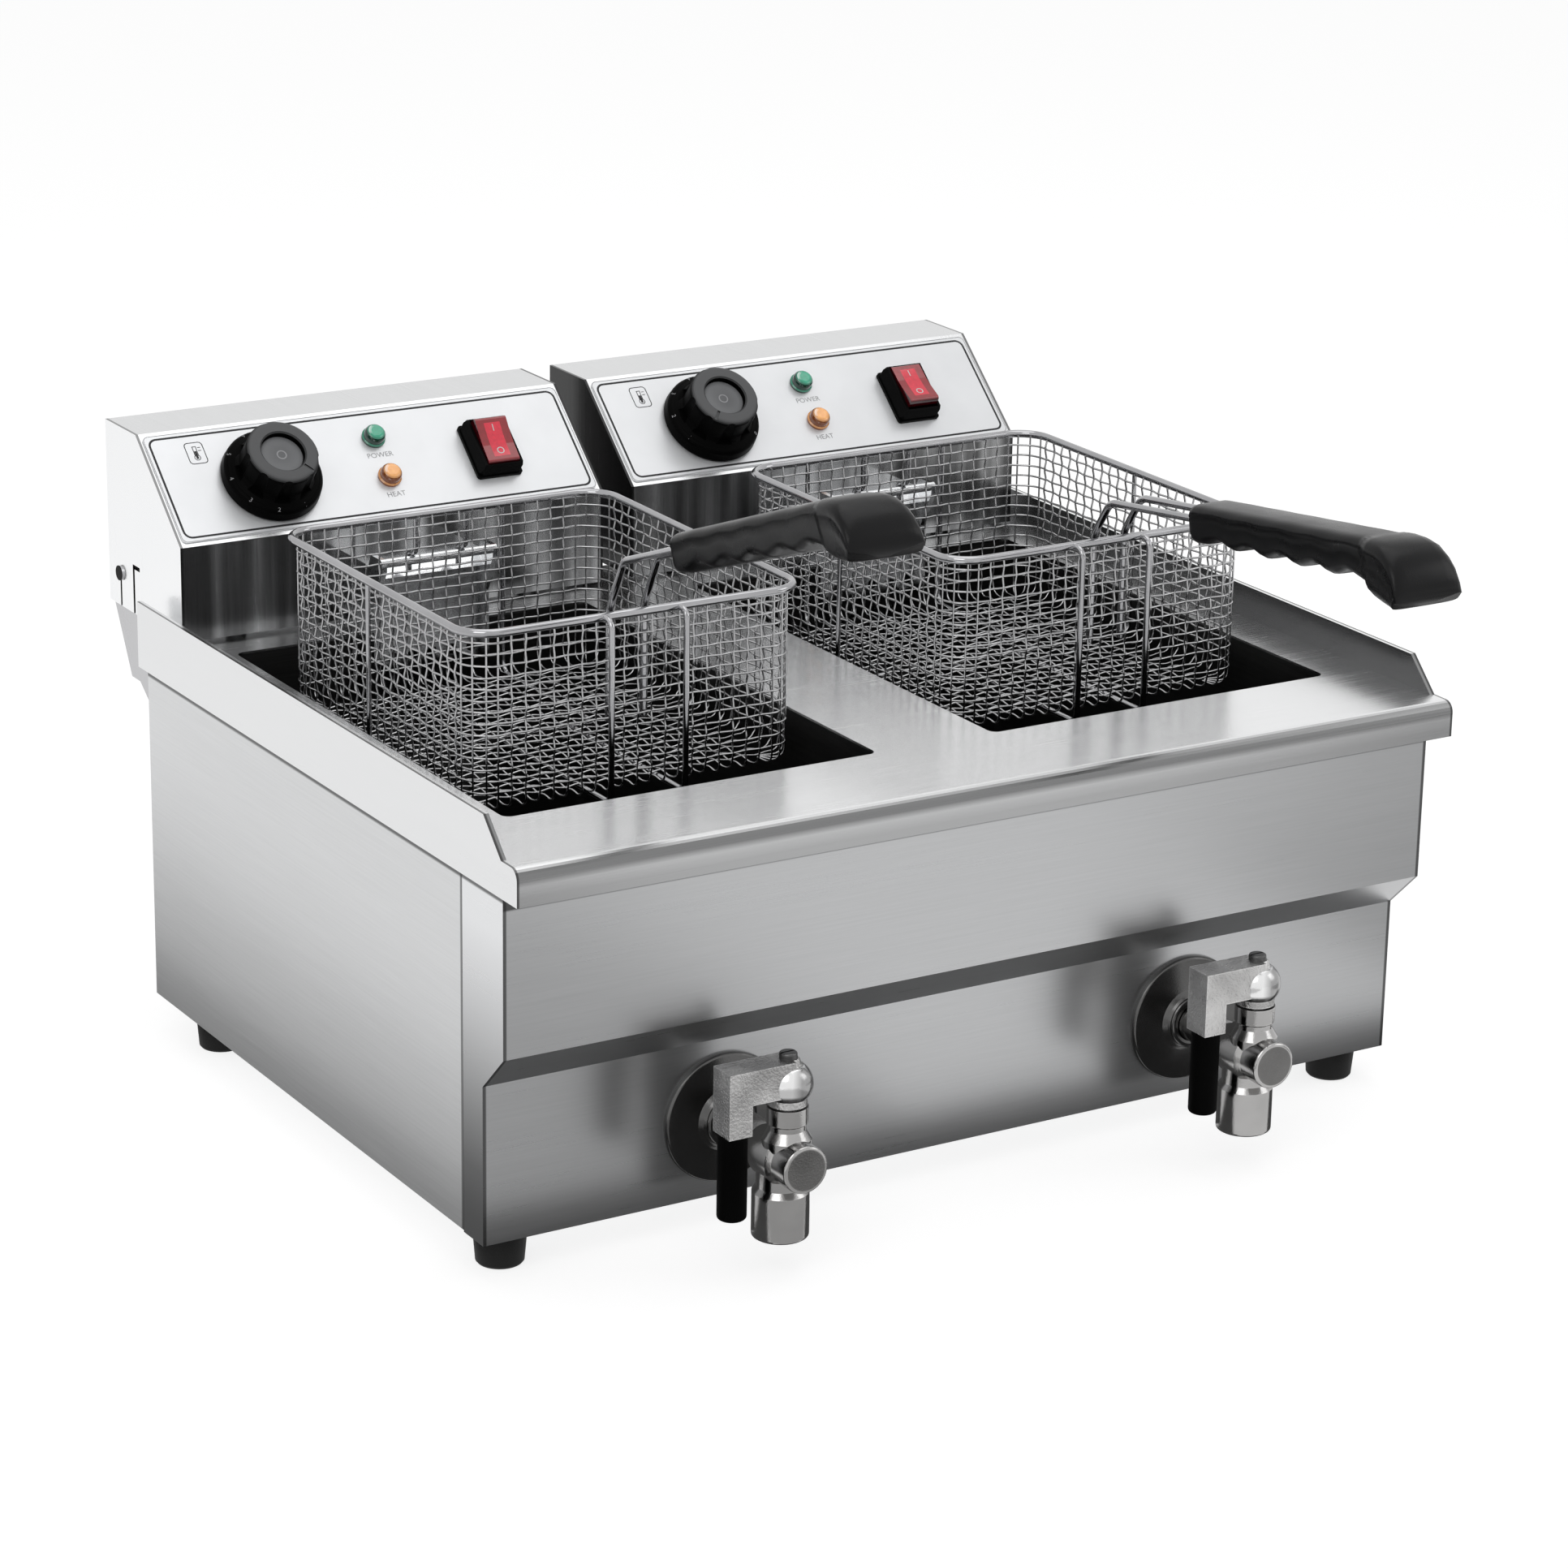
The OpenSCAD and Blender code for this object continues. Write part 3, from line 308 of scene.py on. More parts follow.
class Surface(Tree):
    """The tree of a finish: place and facing are its Object coordinates and its normal."""

    def __init__(self, material: Material) -> None:
        """Lays out the place and the direction.

        Args:
            material: the material, whose nodes are removed.
        """
        super().__init__(empty_tree(material))
        given = self.add("ShaderNodeTexCoord").outputs
        self.place, self.facing = given["Object"], given["Normal"]

    def grain(self, size: float) -> Sockets:
        """Returns the outputs of the surface grain."""
        return self.add("ShaderNodeGroup", {"Position": self.place, "Size": size}, node_tree=surface_grain()).outputs

    def towards(self, way: Point, low: float, high: float, to_high: float = 1.0) -> NodeSocket:
        """Returns a mask that rises as the surface turns towards a direction, over a range of the dot product."""
        return self.spread(self.dot(self.facing, way), low, high, 0.0, to_high)

    def over(self, mask: NodeSocket, color: NodeSocket, base: Point, tone: float) -> NodeSocket:
        """Returns a colour with a tone of the base colour laid over it."""
        return self.mix(mask, color, shade(base, tone))


@dataclass(frozen=True)
class Finish:
    """What every finish has: its name, the record's material slot and its colour."""

    name: str
    slot: str
    color: Point

    @cache
    def material(self) -> Material:
        """Builds this finish's material on its first use.

        Returns:
            The material.
        """
        material = bpy.data.materials.new(self.name)
        tree = Surface(material)
        shader = tree.add("ShaderNodeBsdfPrincipled")
        tree.add("ShaderNodeOutputMaterial", {"Surface": shader.outputs[0]})
        tree.feed(shader, self.looks(tree))
        return material

    def looks(self, tree: Surface) -> dict[str, object]:
        """Lays out the nodes and returns the inputs of the Principled BSDF by name."""
        raise NotImplementedError


@dataclass(frozen=True)
class BrushedSheet(Finish):
    """Stainless sheet with polishing lines, and painted light and shade set by place and by the way a face turns.

    The tones are factors of the colour; heights and places are in millimetres from the deck.
    front is the painted dark reflection on faces turned to the front by more than fold; streaks clouds it, and
    roll lays a painted light band and a painted dark band on it as on a rolled lip. sides holds the
    painted tones low and high on faces turned sideways, flank is the painted shade on the right upstand's
    inner face, gap is the half width of the painted shade between the heads. edge (middle, half width,
    line width) draws painted shade lines along the edges of a sheet, and seam_y, seam_z and lip_z the dark
    lines of joints.
    """

    density: float = 900.0
    rough: float = 0.27
    contrast: float = 0.10
    upright: float = 0.0
    streaks: float = 0.0
    front: float = 1.0
    fold: Flat = (0.8, 0.97)
    flank: float = 1.0
    gap: float = 0.0
    metal: float = 1.0
    gleam: float = 0.5
    relief: float = 0.12
    wear: float = 1.0
    edge: Point | None = None
    roll: bool = False
    sides: Flat | None = None
    seam_y: float | None = None
    seam_z: Flat | None = None
    lip_z: Flat | None = None

    def looks(self, tree: Surface) -> dict[str, object]:
        """Lays out lines in colour, gloss and height, clouded along the polishing direction.

        Args:
            tree: the material's tree.

        Returns:
            The inputs of the Principled BSDF by name.
        """
        inputs = {"Density": self.density, "Upright": self.upright, "Position": tree.place, "Normal": tree.facing}
        brushed = tree.add("ShaderNodeGroup", inputs, node_tree=brushed_lines()).outputs
        lines, cloud = brushed["Lines"], brushed["Cloud"]
        color = tree.mix(lines, shade(self.color, 1 - self.contrast), shade(self.color, 1 + self.contrast))
        for mask, tone in self.tones(tree, cloud):
            color = tree.mix(mask, color, tone)
        mixed = tree.math("ADD", tree.times(lines, 0.6), tree.times(cloud, 0.4))
        rough = tree.spread(mixed, 0.0, 1.0, self.rough - 0.05 * self.wear, self.rough + 0.08 * self.wear)
        return {
            "Base Color": color, "Roughness": rough, "Metallic": self.metal, "Specular IOR Level": self.gleam,
            "Normal": tree.bump(lines, self.relief),
        }

    def tones(self, tree: Surface, cloud: NodeSocket) -> Iterator[tuple[NodeSocket, object]]:
        """Yields the painted light and shade and the dark joint lines that lie over the plain sheet, from the bottom
        up.

        Args:
            tree: the material's tree.
            cloud: the clouds of the polishing lines.

        Yields:
            A mask and the colour that it shows.
        """
        at, facing = tree.axes(tree.place), tree.axes(tree.facing)
        sideways = tree.math("ABSOLUTE", facing[0])
        from_middle = tree.math("ABSOLUTE", at[0])
        # painted dark reflection on faces turned to the front
        if self.front < 1.0:
            yield tree.spread(facing[1], -self.fold[0], -self.fold[1]), self.folded(tree, at[2], cloud)
        # painted light and shade on faces turned sideways, graded by height
        if self.sides:
            height = tree.spread(at[2], height_at(-170.0), height_at(-40.0))
            low, high = (shade(self.color, tone) for tone in self.sides)
            yield tree.spread(sideways, *SQUARE_ON), tree.mix(height, low, high)
        # painted shade on the inner face of the right upstand
        if self.flank < 1.0:
            turned, right = tree.spread(facing[0], -0.8, -0.97), tree.spread(at[0], 240 * MM, 250 * MM)
            yield tree.times(turned, right), shade(self.color, self.flank)
        if self.seam_y is not None:
            line = deck(0, self.seam_y, 0).y
            yield tree.spread(at[1], line + 0.6 * MM, line + 1.2 * MM, 0.72, 0.0), grey(JOINT_LINE)
        for heights, axis in ((self.seam_z, 0), (self.lip_z, 1)):
            if heights:
                square = tree.spread(tree.math("ABSOLUTE", facing[axis]), *SQUARE_ON)
                low, top = (height_at(z) for z in heights)
                yield tree.times(square, tree.spread(at[2], low, top, 0.0, 0.85)), grey(JOINT_LINE)
        # painted shade line along the sheet's edges
        if self.edge:
            middle, half, width = (value * MM for value in self.edge)
            out = tree.math("ABSOLUTE", tree.math("SUBTRACT", from_middle, middle))
            rim = tree.spread(out, half - width, half - 0.7 * width, 0.0, 0.8)
            yield tree.times(rim, tree.spread(sideways, 0.7, 0.6)), grey(EDGE_SHADE)
        # painted shade on the faces in the space between the heads
        if self.gap:
            yield tree.spread(from_middle, (self.gap + 0.3) * MM, self.gap * MM), shade(self.color, 0.05)

    def folded(self, tree: Surface, height: NodeSocket, cloud: NodeSocket) -> NodeSocket:
        """Returns the painted dark reflection of the faces turned to the front.

        Args:
            tree: the material's tree.
            height: the height of the place.
            cloud: the clouds of the polishing lines.

        Returns:
            The colour, with a painted light band and a painted dark band if the sheet is rolled over.
        """
        low, high = (shade(self.color, self.front * (1.0 + swing)) for swing in (-self.streaks, self.streaks))
        color = tree.mix(tree.spread(cloud, 0.3, 0.7), low, high)
        # painted light band and painted dark band on the rolled lip
        if self.roll:
            for start, end, tone in ((-15.0, -9.0, 1.22), (-9.0, -5.5, 0.55)):
                band = tree.spread(height, height_at(start), height_at(end))
                color = tree.over(band, color, self.color, self.front * tone)
        return color


@dataclass(frozen=True)
class Grained(Finish):
    """A finish with a fine grain, faint patches, and edges lightened for wear and as a painted highlight."""

    rough: float
    grain: float = 2500.0
    relief: float = 0.03

    def tint(self, tree: Surface, color: NodeSocket) -> NodeSocket:
        """Returns the colour unchanged; finishes that paint light, shade and reflection by direction and place change
        it here.
        """
        return color

    def worn(self, tree: Surface, tones: Flat, wear_and_highlight: Flat, gloss: Flat, relief: float) -> dict[str, object]:
        """Lays out what these finishes share.

        Args:
            tree: the material's tree.
            tones: factors of the colour between which the patches lie.
            wear_and_highlight: how far the edges are lightened, for rubbed wear and as a painted highlight, and the
                factor of their colour.
            gloss: the roughness between which the patches lie.
            relief: the strength of the grain's height.

        Returns:
            The inputs of the Principled BSDF by name.
        """
        grain = tree.grain(self.grain)
        edge = tree.make("ShaderNodeGroup", node_tree=rubbed_edges())
        body = tree.mix(grain["Patches"], shade(self.color, tones[0]), shade(self.color, tones[1]))
        # edges lightened: rubbed wear and a painted edge highlight
        color = tree.over(tree.times(edge, wear_and_highlight[0]), body, self.color, wear_and_highlight[1])
        return {
            "Base Color": self.tint(tree, color),
            "Roughness": tree.spread(grain["Patches"], 0.0, 1.0, *gloss),
            "Normal": tree.bump(grain["Grain"], relief),
        }


@dataclass(frozen=True)
class BrightMetal(Grained):
    """Polished, plated or cast metal."""

    patch: float = 0.1

    def looks(self, tree: Surface) -> dict[str, object]:
        """Lays out metal whose patches differ in colour and gloss."""
        tones, gloss = (1 - self.patch, 1.04), (self.rough * 0.75, self.rough * 1.3)
        return self.worn(tree, tones, (0.5, 1.3), gloss, self.relief * 4) | {"Metallic": 1.0}


@dataclass(frozen=True)
class DomeMetal(BrightMetal):
    """Plating on a small dome, with painted reflection bands, dark and bright, and a painted shade underneath."""

    def tint(self, tree: Surface, color: NodeSocket) -> NodeSocket:
        """Paints dark and bright reflection bands from the dome's left to its right, and paints shade underneath.

        Args:
            tree: the material's tree.
            color: the plain colour.

        Returns:
            The colour.
        """
        right, up = (0.82, -0.57, 0.0), (0.0, 0.0, 1.0)
        # painted reflection bands across the dome and painted shade underneath
        for way, start, end, tone in ((right, 0.25, 0.6, 0.42), (right, -0.22, -0.42, 0.10), (up, -0.3, -0.45, 0.15)):
            color = tree.over(tree.towards(way, start, end), color, self.color, tone)
        return color


@dataclass(frozen=True)
class Moulded(Grained):
    """Moulded plastic or rubber."""

    shine: float = 0.22

    def looks(self, tree: Surface) -> dict[str, object]:
        """Lays out plastic with patches of handling in colour and gloss.

        Args:
            tree: the material's tree.

        Returns:
            The inputs of the Principled BSDF by name.
        """
        gloss = (self.rough - 0.05, self.rough + 0.07)
        worn = self.worn(tree, (0.85, 1.2), (0.4, 2.2), gloss, self.relief)
        return worn | {"Specular IOR Level": self.shine}


@dataclass(frozen=True)
class KnobPlastic(Moulded):
    """Black knob plastic whose top ring is painted a matt grey where it faces out, a painted light, and whose skirt
    stays black.
    """

    top: Point = (0.15, 0.152, 0.155)
    height: float = 22.0

    def tint(self, tree: Surface, color: NodeSocket) -> NodeSocket:
        """Paints the colour grey, a painted light, where the knob faces out high above the control plate.

        Args:
            tree: the material's tree.
            color: the plain colour.

        Returns:
            The colour.
        """
        # painted light on the top ring
        start = Vector(SLOPE_OUT).dot(deck(0.0, HEAD_FRONT, HEAD_LOW)) + self.height * MM
        high = tree.spread(tree.dot(tree.place, SLOPE_OUT), start, start + 1.0 * MM)
        out = tree.towards(SLOPE_OUT, 0.45, 0.95)
        return tree.mix(tree.times(high, out), color, (*self.top, 1.0))


@dataclass(frozen=True)
class Lens(Finish):
    """Tinted lamp or rocker plastic with painted light: painted lighter where its top faces out, painted a deep shade
    in its sides.

    deep is the colour of the painted shade in the sides, glow the strength of its own light, spark the share of white
    in the painted highlight of a lamp.
    """

    deep: Point
    glow: float
    spark: float = 0.0

    def looks(self, tree: Surface) -> dict[str, object]:
        """Lays out a glossy tinted body with painted light on its top, painted shade in its sides and a painted
        highlight on a lamp.

        Args:
            tree: the material's tree.

        Returns:
            The inputs of the Principled BSDF by name.
        """
        grain = tree.grain(420.0)["Grain"]
        # painted light where the top faces out, painted shade in the sides
        facing = tree.towards(SLOPE_OUT, 0.45 + 0.3 * self.spark, 0.97)
        body = tree.mix(grain, shade(self.color, 0.85), shade(self.color, 1.12))
        color = tree.mix(facing, (*self.deep, 1.0), body)
        # painted highlight of a lamp
        if self.spark:
            light = (-0.30, -0.50, 0.81)  # the way that the painted highlight faces
            lit = tree.towards(light, 0.955, 0.985, self.spark)
            color = tree.mix(lit, color, grey(0.95))
        return {
            "Base Color": color, "Emission Color": color, "Emission Strength": self.glow, "Roughness": 0.12,
            "Coat Weight": 0.5, "Coat Roughness": 0.04, "Normal": tree.bump(grain, 0.1, 0.2 * MM),
        }


@dataclass(frozen=True)
class PrintedPlate(Finish):
    """Silver-white lacquered control plate."""

    def looks(self, tree: Surface) -> dict[str, object]:
        """Lays out a satin lacquer with the faintest orange peel.

        Args:
            tree: the material's tree.

        Returns:
            The inputs of the Principled BSDF by name.
        """
        grain = tree.grain(1500.0)
        return {
            "Base Color": tree.mix(grain["Patches"], shade(self.color, 0.97), shade(self.color, 1.02)),
            "Roughness": tree.spread(grain["Grain"], 0.0, 1.0, 0.3, 0.4), "Metallic": 0.35,
            "Normal": tree.bump(grain["Grain"], 0.03),
        }


CASING = BrushedSheet("casing_steel", "brushed_steel", (0.50, 0.505, 0.51))
SIDE_SHEET = BrushedSheet(
    "side_steel", "brushed_steel", (0.63, 0.635, 0.64), 700.0, 0.3, 0.04, relief=0.04, wear=0.5,
    seam_y=-178.8, seam_z=(-23.0, -21.8),
)
# painted shade low and painted light high on the side returns, painted shade lines at the edges
FRONT_SHEET = BrushedSheet(
    "front_steel", "brushed_steel", (0.46, 0.464, 0.47), 800.0, 0.28, 0.035, relief=0.02, wear=0.3,
    edge=(0.0, 278.0, 2.2), sides=(0.38, 1.6), seam_z=(-23.0, -21.8), lip_z=(-27.2, -26.2),
)
# painted dark reflection and bands on the rolled lip, painted shade on the upstand, the sides and the edges
DECK_SHEET = BrushedSheet(
    "deck_steel", "brushed_steel", (0.80, 0.805, 0.81), 1100.0, 0.22, 0.04, front=0.46, fold=(0.1, 0.75), flank=0.21,
    relief=0.04, edge=(0.0, 280.0, 1.6), roll=True, sides=(0.92, 0.92),
)
# painted dark reflection on the front, painted light on the sides, painted shade at the edges and between the heads
HEAD_SHEET = BrushedSheet(
    "head_steel", "brushed_steel", (0.635, 0.64, 0.645), 900.0, 0.22, 0.06, 1.0, 0.6, front=0.46, gap=10.5,
    relief=0.08, edge=(HEAD_X, 129.75, 1.9), sides=(1.37, 1.37),
)
# the tank's steel is painted near black: painted shade of the deep well
TANK_SHEET = BrushedSheet(
    "oiled_tank", "tank_steel", (0.030, 0.0298, 0.0295), 500.0, 0.32, 0.25, metal=0.6, gleam=0.1
)
BRACKET = BrightMetal("bracket_plate", "bracket_steel", (0.52, 0.52, 0.53), 0.30, 1800.0, 0.04, 0.08)
GUARD = BrightMetal("guard_polish", "polished_steel", (0.82, 0.83, 0.84), 0.12)
WIRE = BrightMetal("basket_wire", "wire_steel", (0.38, 0.38, 0.39), 0.11, 1500.0, 0.02, 0.14)
MESH_WIRE = BrightMetal("mesh_wire", "wire_steel", (0.42, 0.42, 0.425), 0.16, 1500.0, 0.02, 0.18)
SHEATH = BrightMetal("heater_sheath", "element_alloy", (0.16, 0.155, 0.15), 0.42, 900.0, 0.1, 0.3)
PLATED = BrightMetal("tap_plating", "tap_chrome", (0.42, 0.415, 0.41), 0.14, 1600.0, 0.06, 0.15)
DOME = DomeMetal("hub_plating", "tap_chrome", (0.80, 0.80, 0.80), 0.20, 1600.0, 0.06, 0.05)
CASTING = BrightMetal("lever_casting", "tap_chrome", (0.62, 0.615, 0.61), 0.26, 800.0, 0.7, 0.55)
# the flange's plating is painted dark: painted shade and dark reflection
FLANGE = BrightMetal("flange_plating", "tap_chrome", (0.115, 0.114, 0.113), 0.20, 1600.0, 0.04, 0.2)
TAP_FACE = BrightMetal("tap_face", "tap_chrome", (0.17, 0.168, 0.165), 0.36, 1100.0, 0.5, 0.3)
BALL = BrightMetal("ball_polish", "polished_steel", (0.8, 0.8, 0.81), 0.06)
SCREW = BrightMetal("dark_screw_head", "dark_screw", (0.10, 0.10, 0.10), 0.35, 1500.0, 0.1)
ZINC_SCREW = BrightMetal("zinc_screw", "brushed_steel", (0.6, 0.6, 0.61), 0.25, 1500.0, 0.05)
PLATE = PrintedPlate("control_plate", "panel_film", (0.80, 0.81, 0.825))
BLACK = Moulded("switch_black", "black_plastic", (0.003, 0.003, 0.003), 0.3, 2200.0, 0.2, 0.03)
KNOB = KnobPlastic("knob_black", "black_plastic", (0.002, 0.002, 0.002), 0.36, 2600.0, 0.2, 0.02)
KNOB_DISC = Moulded("knob_disc", "black_plastic", (0.15, 0.153, 0.158), 0.45, 2600.0, 0.15)
GRIP = Moulded("handle_black", "grip_plastic", (0.0035, 0.0035, 0.004), 0.27, 1800.0, 0.2, 0.18)
SLEEVE = Moulded("lever_sleeve", "black_plastic", (0.002, 0.002, 0.002), 0.5, 1500.0, 0.3, 0.02)
RUBBER = Moulded("foot_rubber", "rubber", (0.012, 0.012, 0.012), 0.65, 1400.0, 0.5)
CERAMIC = Moulded("cream_insulation", "ceramic", (0.62, 0.58, 0.48), 0.45, 1500.0, 0.1)
INK = Moulded("dark_print", "panel_film", (0.03, 0.03, 0.032), 0.45, 3000.0, 0.05)
PALE_INK = Moulded("grey_print", "panel_film", (0.32, 0.32, 0.33), 0.45, 3000.0, 0.05)
WHITE_INK = Moulded("white_print", "panel_film", (0.75, 0.75, 0.75), 0.45, 3000.0, 0.05)
GREEN = Lens("green_lamp", "green_lens", (0.02, 0.36, 0.21), (0.001, 0.03, 0.018), 0.2, 0.5)
AMBER = Lens("amber_lens", "orange_lens", (0.90, 0.42, 0.13), (0.16, 0.04, 0.006), 0.25, 0.5)
RED = Lens("red_lens", "red_rocker", (0.30, 0.005, 0.012), (0.04, 0.001, 0.003), 0.12)
RED_WINDOW = Lens("red_window", "red_rocker", (0.62, 0.012, 0.038), (0.25, 0.002, 0.006), 0.3)


# ---------------------------------------------------------------- pieces


def dress(**finishes: Finish) -> None:
    """Gives carried-over CAD nodes their finishes.

    Args:
        finishes: each node's finish.
    """
    for node, finish in finishes.items():
        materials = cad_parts[node].data.materials
        materials.clear()
        materials.append(finish.material())
        LOG.info("dressed %s in %s", node, finish.name)


def show(name: str, data: bpy.types.ID) -> Object:
    """Adds an object to the scene.

    Args:
        name: the object's name.
        data: its mesh, text, camera or lamp.

    Returns:
        The object.
    """
    obj = bpy.data.objects.new(name, data)
    bpy.context.scene.collection.objects.link(obj)
    return obj


def settled(obj: Object) -> Mesh:
    """Works out an object's modifiers or text, and removes the object.

    Args:
        obj: the object.

    Returns:
        Its shape as a plain mesh.
    """
    depsgraph = bpy.context.evaluated_depsgraph_get()
    mesh = bpy.data.meshes.new_from_object(obj.evaluated_get(depsgraph), depsgraph=depsgraph)
    bpy.data.objects.remove(obj)
    return mesh


def add_piece(mesh: Mesh, finish: Finish, body: str, *nodes: str) -> None:
    """Links a finished mesh as a piece of the machine.

    Args:
        mesh: the mesh, already in place, whose name the piece takes.
        finish: its finish; a mesh that already carries materials keeps them.
        body: the body it moves with.
        nodes: the CAD nodes it stands for.
    """
    obj = show(mesh.name, mesh)
    if not mesh.materials:
        mesh.materials.append(finish.material())
    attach(obj, body)
    if nodes:
        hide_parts(*nodes)
    LOG.info("made %s on %s, %d faces", mesh.name, body, len(mesh.polygons))


def mesh_from(bm: bmesh.types.BMesh, name: str, angle: float = 30.0) -> Mesh:
    """Turns a bmesh into a mesh with its faces outwards.

    Args:
        bm: the bmesh, which is freed.
        name: the mesh's name.
        angle: how sharp an edge must be, in degrees, not to be shaded smooth.

    Returns:
        The mesh.
    """
    bmesh.ops.recalc_face_normals(bm, faces=bm.faces)
    mesh = bpy.data.meshes.new(name)
    bm.to_mesh(mesh)
    bm.free()
    mesh.shade_smooth()
    mesh.set_sharp_from_angle(angle=radians(angle))
    return mesh


def circle(radius: float, sides: int, sense: int = 1) -> list[Flat]:
    """Returns points round a circle, the other way round if the sense is -1; one point if it has no radius."""
    turns = [sense * 2 * pi * k / sides for k in range(sides if radius else 1)]
    return [(radius * cos(turn), radius * sin(turn)) for turn in turns]


def rounded_rectangle(half_w: float, half_l: float, radius: float, steps: int = 6) -> list[Flat]:
    """Lays points round a rectangle with rounded corners.

    Args:
        half_w: half of its width.
        half_l: half of its length.
        radius: of its corners.
        steps: edges to a corner.

    Returns:
        The points.
    """
    points = []
    for sx, sy, start in ((1, 1, 0), (-1, 1, 90), (-1, -1, 180), (1, -1, 270)):
        for k in range(steps + 1):
            turn = radians(start + 90 * k / steps)
            x, y = sx * (half_w - radius), sy * (half_l - radius)
            points.append((x + radius * cos(turn), y + radius * sin(turn)))
    return points


def skin_rings(bm: bmesh.types.BMesh, rings: Sequence[Sequence[Vector]], joined: bool = False) -> None:
    """Joins rings of points into a closed skin.

    Args:
        bm: where the faces go.
        rings: the rings in order, all equally long; only the last may be a single point.
        joined: whether the last ring meets the first, instead of both being capped.
    """
    made = [[bm.verts.new(p) for p in ring] for ring in rings]
    for a, b in zip(made, made[1:] + (made[:1] if joined else [])):
        for i, j in zip(range(len(a)), [*range(1, len(a)), 0]):
            bm.faces.new((a[i], a[j], b[j], b[i]) if b[1:] else (a[i], a[j], b[0]))
    if not joined:
        bm.faces.new(made[0][::-1])
        if made[-1][1:]:
            bm.faces.new(made[-1])


def turned_mesh(
    name: str, profile: Iterable[Flat], sides: int, place: Callable[[float, float, float], Vector],
    angle: float = 30.0, sense: int = 1, joined: bool = False,
) -> Mesh:
    """Returns a turned shape.

    Args:
        name: the mesh's name.
        profile: how far along the axis each ring lies, and its radius.
        sides: points to a ring.
        place: gives a point from its two coordinates in the ring and how far along the axis it lies.
        angle: how sharp an edge must be, in degrees, not to be shaded smooth.
        sense: the way round of the rings, 1 or -1.
        joined: whether the last ring meets the first.

    Returns:
        The mesh.
    """
    bm = bmesh.new()
    skin_rings(bm, [[place(u, v, out) for u, v in circle(r, sides, sense)] for out, r in profile], joined)
    return mesh_from(bm, name, angle)


def rounded_path(corners: Sequence[Vector], radius: float, steps: int = 8) -> list[Vector]:
    """Replaces each inner corner of a path by an arc.

    Args:
        corners: the sharp path.
        radius: the bend radius.
        steps: pieces to an arc.

    Returns:
        The path.
    """
    path = [corners[0]]
    for before, here, after in zip(corners, corners[1:], corners[2:]):
        u, v = (here - before).normalized(), (after - here).normalized()
        turn = u.angle(v)
        cut = radius * math.tan(turn / 2)
        centre = here - u * cut + (v - u * u.dot(v)).normalized() * radius
        out = here - u * cut - centre
        axis = u.cross(v).normalized()
        path += [centre + Matrix.Rotation(turn * k / steps, 3, axis) @ out for k in range(steps + 1)]
    return path + [corners[-1]]


def tube_rings(path: Sequence[Vector], radius: float, sides: int = 14) -> list[list[Vector]]:
    """Lays rings of points round a path, carried along it without twist.

    Args:
        path: the tube's middle line.
        radius: of the tube.
        sides: points to a ring.

    Returns:
        The rings.
    """
    rings = []
    side = (path[1] - path[0]).orthogonal().normalized()
    for before, here, after in zip([path[0], *path], path, [*path[1:], path[-1]]):
        along = (after - before).normalized()
        side = (side - along * side.dot(along)).normalized()
        up = along.cross(side)
        rings.append([here + (side * u + up * v) * radius for u, v in circle(1.0, sides)])
    return rings


def polyline(points: Sequence[Sequence[float]], closed: bool = False) -> Mesh:
    """Makes a mesh of edges along a path.

    Args:
        points: the path.
        closed: whether its end meets its start.

    Returns:
        The mesh.
    """
    mesh = bpy.data.meshes.new("path")
    edges = [(i, i + 1) for i in range(len(points) - 1)] + ([(len(points) - 1, 0)] if closed else [])
    mesh.from_pydata([tuple(p) for p in points], edges, [])
    return mesh


def join_meshes(meshes: Sequence[Mesh]) -> Mesh:
    """Joins meshes into one smooth mesh.

    Args:
        meshes: the meshes.

    Returns:
        The mesh, with the first one's materials.
    """
    bm = bmesh.new()
    for mesh in meshes:
        bm.from_mesh(mesh)
    joined = bpy.data.meshes.new("joined")
    bm.to_mesh(joined)
    bm.free()
    for material in meshes[0].materials:
        joined.materials.append(material)
    joined.shade_smooth()
    return joined


# ---------------------------------------------------------------- geometry node trees


def run_tree(group: NodeTree, base: Mesh, values: dict[str, object]) -> Mesh:
    """Runs a geometry node tree on a base mesh.

    Args:
        group: the tree.
        base: the mesh that it starts from.
        values: the tree's inputs by name.

    Returns:
        The result as a plain mesh.
    """
    obj = show("tree_host", base)
    modifier = obj.modifiers.new("tree", "NODES")
    modifier.node_group = group
    for item in group.interface.items_tree:
        if item.in_out == "INPUT" and item.name in values:
            modifier[item.identifier] = values[item.name]
    return settled(obj)


